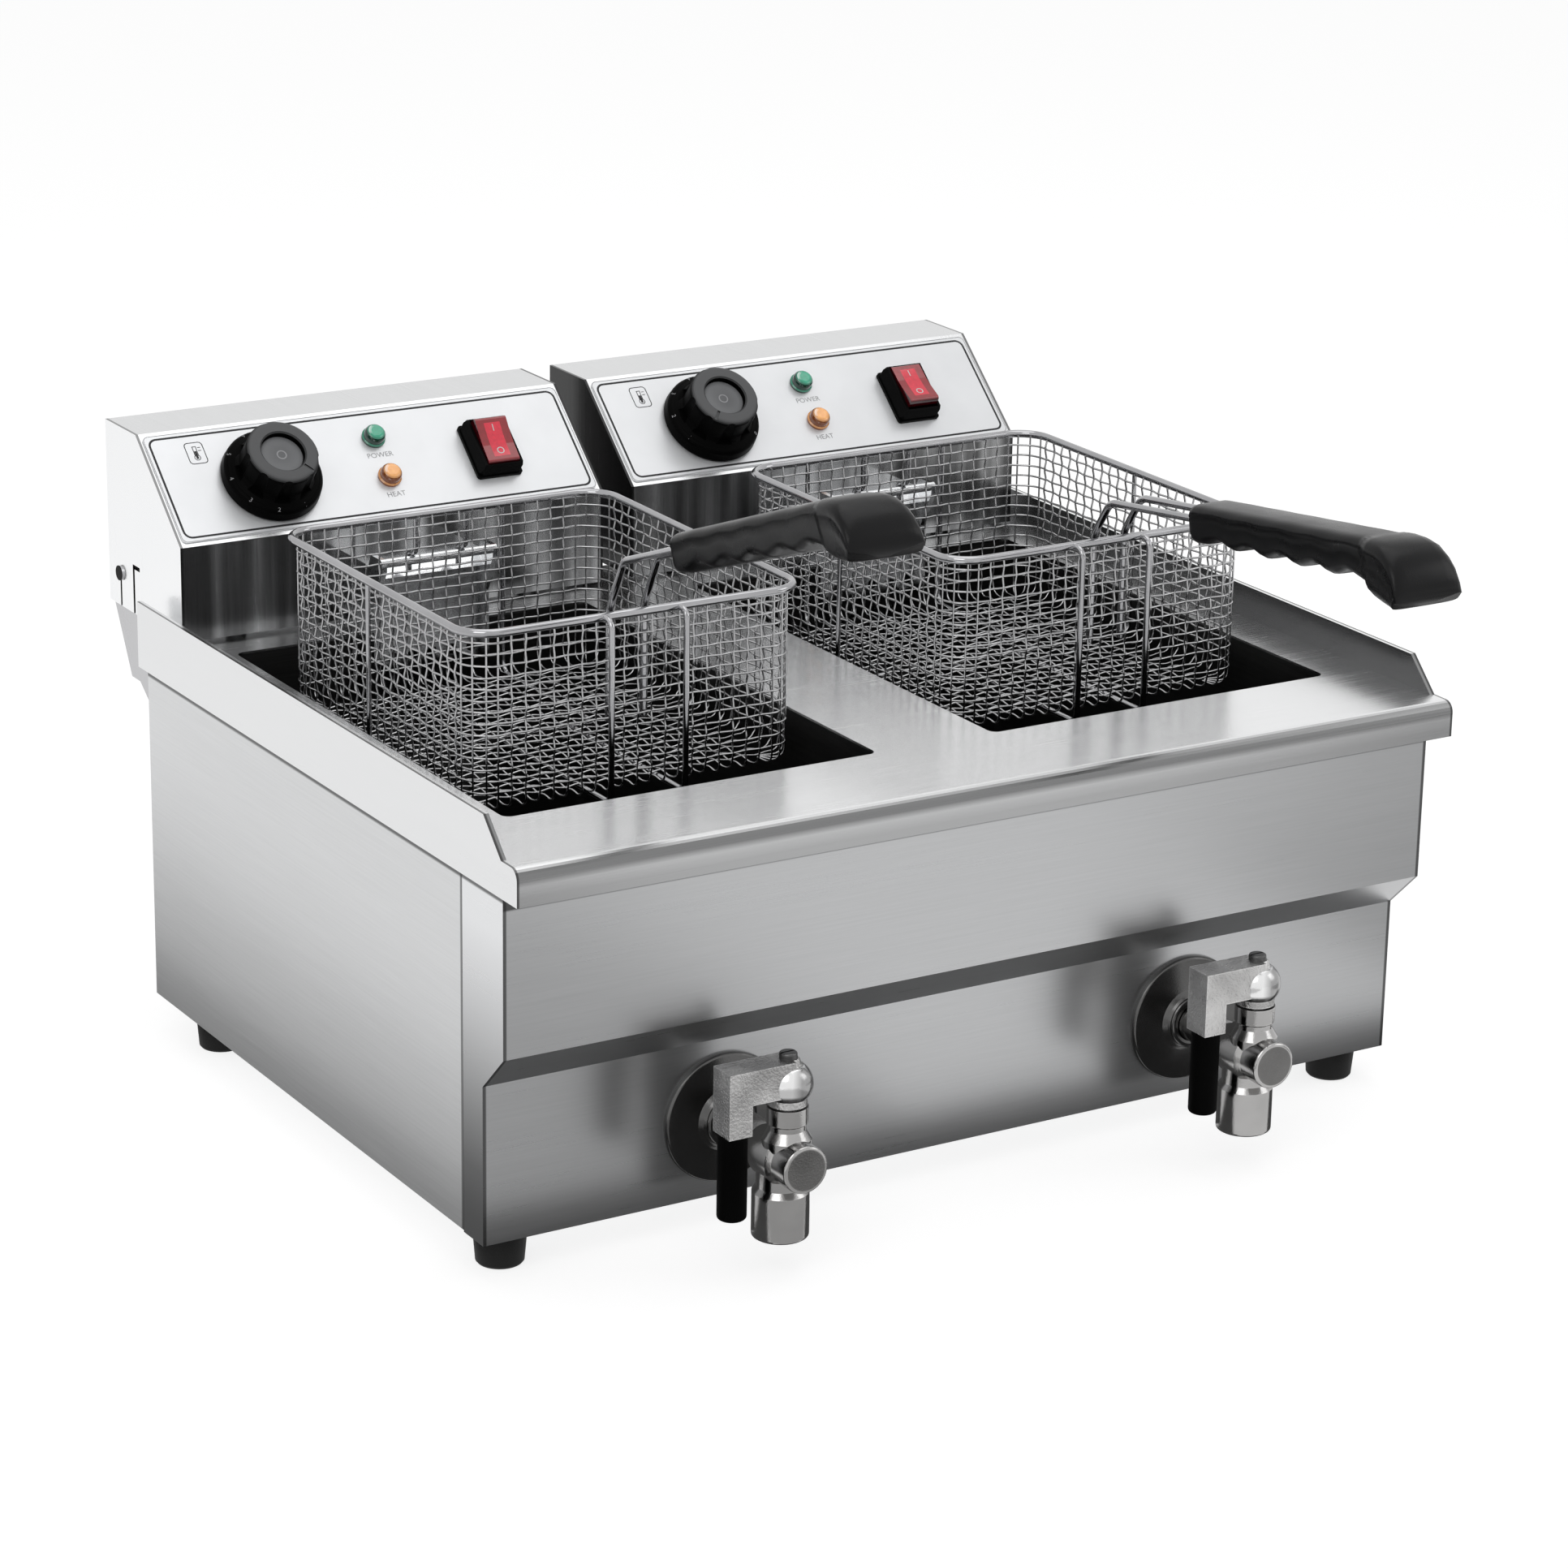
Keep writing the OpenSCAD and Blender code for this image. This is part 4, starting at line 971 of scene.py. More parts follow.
@cache
def woven_wires() -> NodeTree:
    """Builds the tree that copies a bent wire along an axis and crimps each copy over and under its neighbours.

    A wire follows one wave on the part of its path past the test limit and another before it, and every
    second copy is crimped the other way.

    Returns:
        The tree.
    """
    tree, given, out = new_group(
        "woven_wires",
        [("Geometry", "Geometry"), ("Int", "Copies"), ("Vector", "Pitch"), ("Vector", "Start"), ("Float", "Sample"),
         ("Float", "Crimp"), ("Float", "Radius"), ("Int", "Sides"), ("Vector", "Across"), ("Vector", "Test Axis"),
         ("Float", "Test Limit"), ("Vector", "Wave Past"), ("Vector", "Wave Before"), ("Material", "Finish")],
        [("Geometry", "Geometry")], "GeometryNodeTree",
    )
    row = {"Count": given["Copies"], "Start Location": given["Start"], "Offset": given["Pitch"]}
    marked = {"Geometry": tree.make("GeometryNodeMeshLine", row), "Name": "copy",
              "Value": tree.make("GeometryNodeInputIndex")}
    points = tree.make("GeometryNodeStoreNamedAttribute", marked, data_type="FLOAT", domain="POINT")
    curve = tree.make("GeometryNodeMeshToCurve", {0: given["Geometry"]})
    even = tree.make("GeometryNodeResampleCurve", {"Curve": curve, "Length": given["Sample"]}, mode="LENGTH")
    copies = tree.make("GeometryNodeInstanceOnPoints", {"Points": points, "Instance": even})
    real = tree.make("GeometryNodeRealizeInstances", {0: copies})
    place = tree.make("GeometryNodeInputPosition")
    reach = tree.math("ABSOLUTE", tree.dot(place, given["Test Axis"]))
    past = tree.math("GREATER_THAN", reach, given["Test Limit"])
    waves = [tree.math("COSINE", tree.dot(place, given[wave])) for wave in ("Wave Before", "Wave Past")]
    swing = tree.make("ShaderNodeMix", {0: past, 2: waves[0], 3: waves[1]}, data_type="FLOAT")
    copy = tree.make("GeometryNodeInputNamedAttribute", {"Name": "copy"}, data_type="FLOAT")
    parity = tree.math("COSINE", tree.times(copy, pi))
    height = tree.times(tree.times(swing, parity), given["Crimp"])
    both = {0: tree.make("GeometryNodeInputTangent"), 1: given["Across"]}
    out_of_sheet = tree.make("ShaderNodeVectorMath", both, operation="CROSS_PRODUCT")
    offset = tree.make("ShaderNodeVectorMath", {0: out_of_sheet, 3: height}, operation="SCALE")
    crimped = tree.make("GeometryNodeSetPosition", {"Geometry": real, "Offset": offset})
    ring = tree.make("GeometryNodeCurvePrimitiveCircle", {"Resolution": given["Sides"], "Radius": given["Radius"]})
    wire = tree.make("GeometryNodeCurveToMesh", {"Curve": crimped, "Profile Curve": ring, "Fill Caps": True})
    shaded = tree.make("GeometryNodeSetShadeSmooth", {"Geometry": wire})
    solid = tree.make("GeometryNodeRealizeInstances", {0: shaded})
    tree.feed(out, {0: tree.make("GeometryNodeSetMaterial", {"Geometry": solid, "Material": given["Finish"]})})
    return tree.tree


@cache
def screw_rows() -> NodeTree:
    """Builds the tree that sets a screw head on every point, turned along the point's normal.

    Returns:
        The tree.
    """
    tree, given, out = new_group(
        "screw_rows", [("Geometry", "Geometry"), ("Object", "Head"), ("Int", "Seed"), ("Material", "Finish")],
        [("Geometry", "Geometry")], "GeometryNodeTree",
    )
    head = tree.add("GeometryNodeObjectInfo", {"Object": given["Head"]}).outputs["Geometry"]
    facing = tree.make("GeometryNodeInputNamedAttribute", {"Name": "facing"}, data_type="FLOAT_VECTOR")
    lean = tree.make("FunctionNodeAlignRotationToVector", {"Vector": facing}, axis="Z")
    chance = {"Seed": given["Seed"], "Min": 0.0, "Max": pi}
    spin = tree.add("FunctionNodeRandomValue", chance, data_type="FLOAT").outputs["Value"]
    turned = tree.make("FunctionNodeEulerToRotation", {0: tree.make("ShaderNodeCombineXYZ", {2: spin})})
    both = tree.make("FunctionNodeRotateRotation", {0: lean, 1: turned}, rotation_space="LOCAL")
    placed = {"Points": given["Geometry"], "Instance": head, "Rotation": both}
    real = tree.make("GeometryNodeRealizeInstances", {0: tree.make("GeometryNodeInstanceOnPoints", placed)})
    tree.feed(out, {0: tree.make("GeometryNodeSetMaterial", {"Geometry": real, "Material": given["Finish"]})})
    return tree.tree


def screw_head_mesh(radius: float) -> Mesh:
    """Builds a domed screw head with a cross recess.

    Args:
        radius: of the head.

    Returns:
        The mesh, its seat at the origin and its axis along Z.
    """
    sides, top, slot_depth = 24, 0.56, 0.3
    profile = ((1.0, 0.0), (1.0, 0.18), (0.93, 0.34), (0.72, 0.48), (0.4, top))
    rings = [[Vector((u, v, z)) * radius for u, v in circle(r, sides)] for r, z in profile]
    cross = []
    for k, (u, v) in enumerate(circle(1.0, sides)):
        reach = 0.34 if k % 6 in (0, 1, 5) else 0.12
        cross.append(Vector((u * reach, v * reach, top)) * radius)
    bm = bmesh.new()
    skin_rings(bm, [*rings, cross, [p - Vector((0, 0, slot_depth * radius)) for p in cross]])
    return mesh_from(bm, "screw_head")


@dataclass
class ScrewSet:
    """Screws of one size on one body, each given by its seat and the way it faces."""

    name: str
    body: str
    radius: float
    seats: list[tuple[Vector, Vector]]
    seed: int = 7

    def build(self) -> None:
        """Builds the screws as one piece."""
        points = bpy.data.meshes.new("seats")
        points.from_pydata([tuple(p) for p, _ in self.seats], [], [])
        facing = points.attributes.new("facing", "FLOAT_VECTOR", "POINT")
        for item, (_, normal) in zip(facing.data, self.seats):
            item.vector = normal
        head = show("head_pattern", screw_head_mesh(self.radius))
        bpy.context.view_layer.update()
        mesh = run_tree(screw_rows(), points, {"Head": head, "Seed": self.seed, "Finish": ZINC_SCREW.material()})
        bpy.data.objects.remove(head)
        mesh.name = self.name
        add_piece(mesh, ZINC_SCREW, self.body)


# ---------------------------------------------------------------- sub-assemblies


@dataclass
class Cabinet:
    """The casing under the tanks: deck tray, panels, feet and hinge brackets."""

    back: float = 193.0
    base: float = -208.5

    def add_screws(self) -> None:
        """Adds the screws of the back panel and the base plate."""
        back, down = Vector((0, 1, 0)), Vector((0, 0, -1))
        seats = [(deck(x, self.back, z), back) for x in (-268, -90, 90, 268) for z in (-12, -198)]
        seats += [(deck(x, y, self.base), down) for x in (-271, 271) for y in (-90, 40, 180)]
        ScrewSet("casing_screws", "cabinet", 3.4 * MM, seats).build()

    def build(self) -> None:
        """Builds the cabinet's looks."""
        dress(
            deck_tray=DECK_SHEET, front_panel=FRONT_SHEET, side_panel_left=SIDE_SHEET, side_panel_right=SIDE_SHEET,
            back_panel=CASING, base_plate=CASING, feet=RUBBER, hinge_brackets=BRACKET,
        )
        self.add_screws()


@dataclass
class Half:
    """What both halves of the machine have one of. Its nodes, bodies and pieces are named without their side."""

    side: Side

    def dress(self, **finishes: Finish) -> None:
        """Gives this side's CAD nodes their finishes."""
        dress(**{self.side.node(name): finish for name, finish in finishes.items()})

    def put(self, name: str, mesh: Mesh, finish: Finish, body: str, *nodes: str) -> None:
        """Adds a piece, already in place, that stands for the given CAD nodes of this side."""
        mesh.name = self.side.node(name)
        add_piece(mesh, finish, self.side.node(body), *map(self.side.node, nodes))


@dataclass
class HingePin(Half):
    """One end, -1 or 1, of the pins on which a head turns."""

    end: int

    def cap(self) -> None:
        """Adds the blackened end face of the pin, where it shows in the head's side."""
        x, end = HEAD_X * self.side.sign, self.end
        mesh = turned_mesh(
            self.side.node("pin_cap") + ("_a" if end < 0 else "_b"), ((130.7, 4.2), (131.15, 4.2), (131.15, 3.6)), 36,
            lambda u, v, out: deck(x + end * out, PIVOT_Y + u, PIVOT_Z + v), sense=end,
        )
        add_piece(mesh, BLACK, "cabinet")


@dataclass
class DrainTap(Half):
    """One ball tap: plated body, die-cast lever with a sleeved stick, and a screw on top."""

    dome_radius: float = 11.26
    dome_out: float = 1.5
    dome_up: float = 11.0

    def build(self) -> None:
        """Builds the looks of the tap and its tank."""
        self.dress(
            tank=TANK_SHEET, tap_flange=FLANGE, tap_body=PLATED, tap_ball=BALL, tap_lever=CASTING, tap_grip=SLEEVE,
            tap_screw=SCREW,
        )
        self.face()
        self.dome()

    def face(self) -> None:
        """Adds the dull cast face at the end of the tap's barrel."""
        x = TANK_X * self.side.sign
        mesh = turned_mesh(
            self.side.node("tap_barrel_face"), ((34.6, 10.6), (35.08, 10.6), (35.08, 9.8)), 48,
            lambda u, v, out: deck(x + u, BARREL_Y - out, TAP_Z + v),
        )
        add_piece(mesh, TAP_FACE, "cabinet")

    def dome(self) -> None:
        """Adds the polished dome over the lever's hub, a hair outside the casting."""
        x, r = TANK_X * self.side.sign, self.dome_radius
        rises = [radians(-40.0 + 6.0 * step) for step in range(17)]
        mesh = turned_mesh(
            "hub",
            [(HUB_RISE + self.dome_up + r * sin(rise), self.dome_out + r * cos(rise)) for rise in rises], 48,
            lambda u, v, up: deck(x + u, TAP_AXIS_Y + v, TAP_Z + up), 40.0,
        )
        self.put("tap_hub_dome", mesh, DOME, "lever")


def text_mesh(words: str, size: float) -> Mesh:
    """Builds small raised characters.

    Args:
        words: the characters.
        size: their height in millimetres.

    Returns:
        The closed mesh, centred on the origin.
    """
    curve = bpy.data.curves.new("text", "FONT")
    curve.body, curve.size, curve.extrude = words, size * MM, 0.02 * MM
    curve.align_x, curve.align_y = "CENTER", "CENTER"
    mesh = settled(show("text", curve))
    mesh.materials.clear()
    return mesh


@dataclass
class ControlHead(Half):
    """One tilting head: casing, control plate with its print, knob, lamps and switch.

    The slope that carries the plate is measured in millimetres across from the head's centre, up the slope
    and off the casing. surface is how far off the casing the plate's surface is.
    """

    angle: float = math.atan2(50.0, 56.5)
    length: float = math.hypot(50.0, 56.5)
    half_width: float = 129.75
    surface: float = 0.8
    ink: float = 0.03
    knob_x: float = -64.0
    lamp_x: float = 5.5
    lamp_spread: float = 13.3
    switch_x: float = 71.0
    sign_x: float = -100.0
    sign_up: float = 58.5
    caption_drop: float = 6.6
    rocker_tilt: float = 8.0
    rocker_lift: float = 6.5
    mark_y: float = 7.2
    mark_z: float = 7.598
    mark_lean: float = 5.4

    @property
    def middle(self) -> float:
        """The head's centre, in millimetres right of the machine's middle."""
        return HEAD_X * self.side.sign

    @property
    def control_row(self) -> float:
        """How far up the slope the knob and the switch sit."""
        return self.length * 0.47

    def face_matrix(self, x: float, s: float, lift: float = 0.0) -> Matrix:
        """Returns the placing of something across and up the slope, and lifted off it, in millimetres."""
        turned = Matrix.Translation(deck(self.middle + x, HEAD_FRONT, HEAD_LOW)) @ Matrix.Rotation(self.angle, 4, "X")
        return turned @ Matrix.Translation(mm(0, s, lift))

    def move(self, name: str, mesh: Mesh, place: Matrix, finish: Finish, body: str = "head") -> None:
        """Adds a piece that was made round the origin."""
        mesh.transform(place)
        self.put(name, mesh, finish, body)

    def border(self, inset: float, width: float, radius: float, name: str, finish: Finish) -> None:
        """Adds a printed line with rounded corners round the plate.

        Args:
            inset: from the casing's edge, in millimetres.
            width: of the line.
            radius: of its corners.
            name: the piece's name.
            finish: the ink.
        """
        half_w, half_l = self.half_width - inset, self.length / 2 - inset
        rings = []
        for shrink, z in ((0, 0.0), (0, self.ink), (width, self.ink), (width, 0.0)):
            outline = rounded_rectangle(half_w - shrink, half_l - shrink, max(radius - shrink, 0.2))
            rings.append([mm(x, y, z) for x, y in outline])
        bm = bmesh.new()
        skin_rings(bm, rings, True)
        self.move(name, mesh_from(bm, name, 20.0), self.face_matrix(0, self.length / 2, self.surface), finish)

    def thermometer(self) -> None:
        """Adds the small thermometer sign in its rounded square."""
        square, bulb = rounded_rectangle(5.2, 6.9, 2.0, 3), [(x, y - 3.0) for x, y in circle(1.7, 12)]
        strokes = (
            (0.5, [*square, square[0]]), (0.45, [(-1.0, -1.8), (-1.0, 4.2), (1.0, 4.2), (1.0, -1.8)]),
            (0.4, [*bulb, bulb[0]]), (1.4, [(0, -3.2), (0, 0.6)]), (0.4, [(2.0, 3.4), (3.4, 3.4)]),
            (0.4, [(2.0, 1.4), (3.4, 1.4)]),
        )
        bm = bmesh.new()
        for width, path in strokes:
            for ends in zip(path, path[1:]):
                a, b = (mm(*end, 0) for end in ends)
                along = (b - a).normalized() * width * MM / 2
                side = Vector((-along.y, along.x, 0))
                corners = (a - along + side, b + along + side, b + along - side, a - along - side)
                skin_rings(bm, [[corner + mm(0, 0, z) for corner in corners] for z in (0, self.ink)])
        mesh = mesh_from(bm, "thermometer", 20.0)
        self.move("thermometer_sign", mesh, self.face_matrix(self.sign_x, self.sign_up, self.surface), INK)

    def print_plate(self) -> None:
        """Adds the border, the thermometer sign and the lamp captions."""
        self.border(4.6, 1.25, 5.0, "plate_border", INK)
        self.border(2.7, 0.35, 3.2, "plate_edge_line", PALE_INK)
        self.thermometer()
        for words, k in (("POWER", 1), ("HEAT", -1)):
            row = self.control_row + k * self.lamp_spread - self.caption_drop
            place = self.face_matrix(self.lamp_x, row, self.surface)
            self.move("caption_" + words.lower(), text_mesh(words, 4.6), place, PALE_INK)

    def mark_knob(self) -> None:
        """Adds the knob's grey insert with its round mark, and the numbers round the skirt."""
        axis = self.face_matrix(self.knob_x, self.control_row)
        for name, profile, finish in (
            ("knob_insert", ((24.2, 11.7), (24.28, 11.7), (24.34, 11.2), (24.34, 0.0)), KNOB_DISC),
            ("knob_mark", ((24.3, 2.9), (24.4, 2.9), (24.4, 2.2), (24.3, 2.2)), PALE_INK),
        ):
            ring = finish is PALE_INK
            mesh = turned_mesh(name, profile, 48, mm, joined=ring)
            self.move(name, mesh, axis, finish, "knob")
        for number in range(1, 9):
            around = radians(-40.0 * self.side.sign - 72.0 - 36.0 * number)
            self.move(f"knob_number_{number}", self.skirt_number(str(number), around), axis, PALE_INK, "knob")

    def skirt_number(self, words: str, around: float) -> Mesh:
        """Builds a number bent over the rounded shoulder of the knob's skirt.

        Args:
            words: the number.
            around: where round the knob it sits, in radians.

        Returns:
            The mesh round the knob's axis.
        """
        reach, height, bend = 24.5, 6.7, 3.62  # the middle of the shoulder's rounding, and just over its radius
        start, curl, girth = radians(58.0), 3.6, 26.0  # how far up the rounding, and the radii of the two bends
        mesh = text_mesh(words, 3.4)
        for vertex in mesh.vertices:
            u, v, w = vertex.co / MM
            rise, angle = start + v / curl, around + u / girth
            out = reach + (bend + w) * cos(rise)
            up = height + (bend + w) * sin(rise)
            vertex.co = mm(out * cos(angle), out * sin(angle), up)
        return mesh

    def mark_switch(self) -> None:
        """Adds the clear window of the rocker with its I and O."""
        tilt = Matrix.Rotation(radians(-self.rocker_tilt * self.side.sign), 4, "X")
        base = self.face_matrix(self.switch_x, self.control_row, self.rocker_lift) @ tilt
        outline = ((-5.0, -0.3), (5.0, -0.3), (5.0, 0.05), (-5.0, 0.05))
        sections = ((-10.5, 7.8), (-3.0, 7.1), (3.0, 7.1), (10.5, 7.8))
        bm = bmesh.new()
        skin_rings(bm, [[mm(x, y, z + rise) for x, rise in outline] for y, z in sections])
        self.move("rocker_window", mesh_from(bm, "rocker_window"), base, RED_WINDOW, "rocker")
        for words, name, way in (("I", "on", 1), ("O", "off", -1)):
            place = base @ Matrix.Translation(mm(0, self.mark_y * way, self.mark_z))
            place = place @ Matrix.Rotation(radians(self.mark_lean * way), 4, "X")
            self.move("rocker_mark_" + name, text_mesh(words, 6.0), place, WHITE_INK, "rocker")

    def add_screws(self) -> None:
        """Adds the screws of the back cover."""
        back = Vector((0, 1, 0))
        seats = [(deck(self.middle + x, HEAD_BACK, z), back) for x in (-112, 112) for z in (14, 86)]
        ScrewSet(self.side.node("cover_screws"), self.side.node("head"), 2.8 * MM, seats, 11).build()

    def build(self) -> None:
        """Builds the head's looks."""
        self.dress(
            head_housing=HEAD_SHEET, head_cover=CASING, control_plate=PLATE, lamp_green=GREEN, lamp_orange=AMBER,
            switch_frame=BLACK, rocker=RED, thermostat=CERAMIC, terminal_block=CERAMIC, cord_gland=BLACK,
            element_guard=GUARD, heating_element=SHEATH, sensor_bulbs=PLATED, knob=KNOB,
        )
        self.print_plate()
        self.mark_knob()
        self.mark_switch()
        self.add_screws()


@dataclass
class Basket(Half):
    """One hanging basket: woven wire cloth in a frame of heavier wire.

    inset is how far the cloth lies inside the frame; wires stand pitch apart and hoops hoop_pitch.
    """

    width: float = 193.0
    length: float = 216.0
    depth: float = 93.5
    corner: float = 18.0
    wire: float = 0.56
    pitch: float = 8.0
    hoop_pitch: float = 6.0
    crimp: float = 0.5
    bend: float = 5.0
    inset: float = 2.4
    top: float = -0.6
    middle_y: float = -5.0
    sample: float = 1.7
    sides: int = 6

    @property
    def half(self) -> Flat:
        """Half of the cloth's width and length."""
        return self.width / 2 - self.inset, self.length / 2 - self.inset

    def bent_wire(self, half: float, across: bool) -> Mesh:
        """Lays one wire down a wall, over the floor and up the other wall.

        Args:
            half: half of the span.
            across: along X if true, else along Y.

        Returns:
            The path.
        """
        flat = [(-half, self.top), (-half, -self.depth), (half, -self.depth), (half, self.top)]
        corners = [mm(u, 0, z) if across else mm(0, u, z) for u, z in flat]
        return polyline(rounded_path(corners, self.bend * MM, 5))

    def corner_wires(self) -> Mesh:
        """Lays the upright wires round the four rounded corners.

        Returns:
            Their paths.
        """
        paths = []
        for sx, sy in ((-1, -1), (-1, 1), (1, -1), (1, 1)):
            centre = Vector((sx * (self.width / 2 - self.corner), sy * (self.length / 2 - self.corner), 0))
            for turn in (12, 38, 64, 86):
                out = Vector((sx * cos(radians(turn)), sy * sin(radians(turn)), 0))
                radius, foot = self.corner - self.inset, 3
                corners = [
                    (centre + out * reach + Vector((0, 0, z))) * MM
                    for reach, z in ((radius, self.top), (radius, -self.depth), (foot, -self.depth))
                ]
                paths.append(polyline(rounded_path(corners, self.bend * MM, 4)))
        return join_meshes(paths)

    def wires(self, path: Mesh, copies: int, crimp: float = 0.0, limit: float = 1.0, **vectors: Vector) -> Mesh:
        """Runs the weaving tree.

        Args:
            path: the first wire's path.
            copies: how many wires there are.
            crimp: how far each swings from its path.
            limit: the limit of the test for the wave that it follows.
            vectors: the tree's vectors by name, with an underscore for each space.

        Returns:
            The wires.
        """
        values = {
            "Copies": copies, "Sample": self.sample * MM, "Crimp": crimp, "Radius": self.wire * MM,
            "Sides": self.sides, "Test Limit": limit, "Finish": MESH_WIRE.material(),
        }
        values |= {name.replace("_", " "): tuple(vector) for name, vector in vectors.items()}
        return run_tree(woven_wires(), path, values)

    def weave(self) -> None:
        """Builds the wire cloth of walls and floor as two pieces."""
        x, y, z = (Vector(axis) for axis in ((1, 0, 0), (0, 1, 0), (0, 0, 1)))
        pitch, hoop_pitch, crimp = self.pitch * MM, self.hoop_pitch * MM, self.crimp * MM
        wave, hoop_wave = pi / pitch, pi / hoop_pitch
        half_w, half_l = self.half
        along, across = (int((size / 2 - self.corner) / self.pitch) for size in (self.width, self.length))
        floor = (self.depth - 4.0) * MM
        walls = {"Test_Axis": z, "Wave_Before": z * hoop_wave}
        lengthwise = self.wires(
            self.bent_wire(half_l, False), 2 * along + 1, crimp, floor, Pitch=x * pitch, Start=x * pitch * -along,
            Across=x, Wave_Past=y * wave, **walls,
        )
        crosswise = self.wires(
            self.bent_wire(half_w, True), 2 * across + 1, crimp, floor, Pitch=y * pitch, Start=y * pitch * -across,
            Across=-y, Wave_Past=x * wave, **walls,
        )
        outline = rounded_rectangle(half_w, half_l, self.corner - self.inset)
        hoops = self.wires(
            polyline([mm(u, v, -self.hoop_pitch) for u, v in outline], True),
            int((self.depth - 8) / self.hoop_pitch), crimp, (half_l - self.corner) * MM, Pitch=z * -hoop_pitch,
            Across=z, Test_Axis=y, Wave_Past=x * wave, Wave_Before=y * wave,
        )
        corners = self.wires(self.corner_wires(), 1, Across=z)
        place = Matrix.Translation(deck(TANK_X * self.side.sign, self.middle_y, RIM_Z))
        for name, parts, nodes in (
            ("wire_cloth_a", (lengthwise, corners), ["basket_mesh"]), ("wire_cloth_b", (crosswise, hoops), []),
        ):
            mesh = join_meshes(parts)
            mesh.transform(place)
            self.put(name, mesh, MESH_WIRE, "basket", *nodes)

    def build(self) -> None:
        """Builds the basket's looks."""
        self.dress(basket_frame=WIRE)
        self.weave()


@dataclass
class Handle(Half):
    """One basket handle: two bent wires and a moulded grip with finger rests and a hood.

    The handle is laid out along and above a line that is turned about the foot of its wires.
    """

    spacing: float = 20.0
    outward: float = 5.0
    wire: float = 2.0
    bend: float = 11.5
    rim_front: float = -113.0
    foot: float = -57.0
    leg_in: float = 5.55
    over_rim: float = 2.0
    knee_out: float = 9.0
    wire_up: float = 79.0
    run: float = 125.0

    @property
    def tilt(self) -> float:
        """How far the handle rises towards its end, in radians."""
        return radians(20.0 if self.side is Side.LEFT else 7.0)

    def place(self, x: float, ahead: float, up: float) -> Vector:
        """Returns a frame point from its place by the front rim: right of the basket's middle, ahead and up."""
        return deck(TANK_X * self.side.sign + x, self.rim_front - ahead, RIM_Z + up)

    def along(self, x: float, run: float, up: float) -> Vector:
        """Returns a frame point from its place on the turned handle."""
        ahead = run * cos(self.tilt) - up * sin(self.tilt)
        return self.place(x, ahead, self.foot + run * sin(self.tilt) + up * cos(self.tilt))

    def wires(self) -> None:
        """Builds the two wires."""
        bm = bmesh.new()
        knee_run = (self.knee_out + self.wire_up * sin(self.tilt)) / cos(self.tilt)
        for offset in (-self.spacing / 2, self.spacing / 2):
            x = self.outward * self.side.sign + offset
            corners = [
                self.place(x, -self.leg_in, self.foot), self.place(x, -self.leg_in, self.over_rim),
                self.along(x, knee_run, self.wire_up), self.along(x, self.run, self.wire_up),
            ]
            skin_rings(bm, tube_rings(rounded_path(corners, self.bend * MM), self.wire * MM))
        self.put("handle_wires_bent", mesh_from(bm, "wires", 50.0), WIRE, "basket", "handle_wires")

    def build(self) -> None:
        """Builds the handle's looks."""
        self.wires()
        node = self.side.node("handle_grip")
        bm = bmesh.new()
        bm.from_mesh(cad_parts[node].data)
        bmesh.ops.remove_doubles(bm, verts=bm.verts, dist=0.01 * MM)
        add_piece(mesh_from(bm, node + "_smooth", 46.0), GRIP, self.side.node("basket"), node)


# ---------------------------------------------------------------- studio


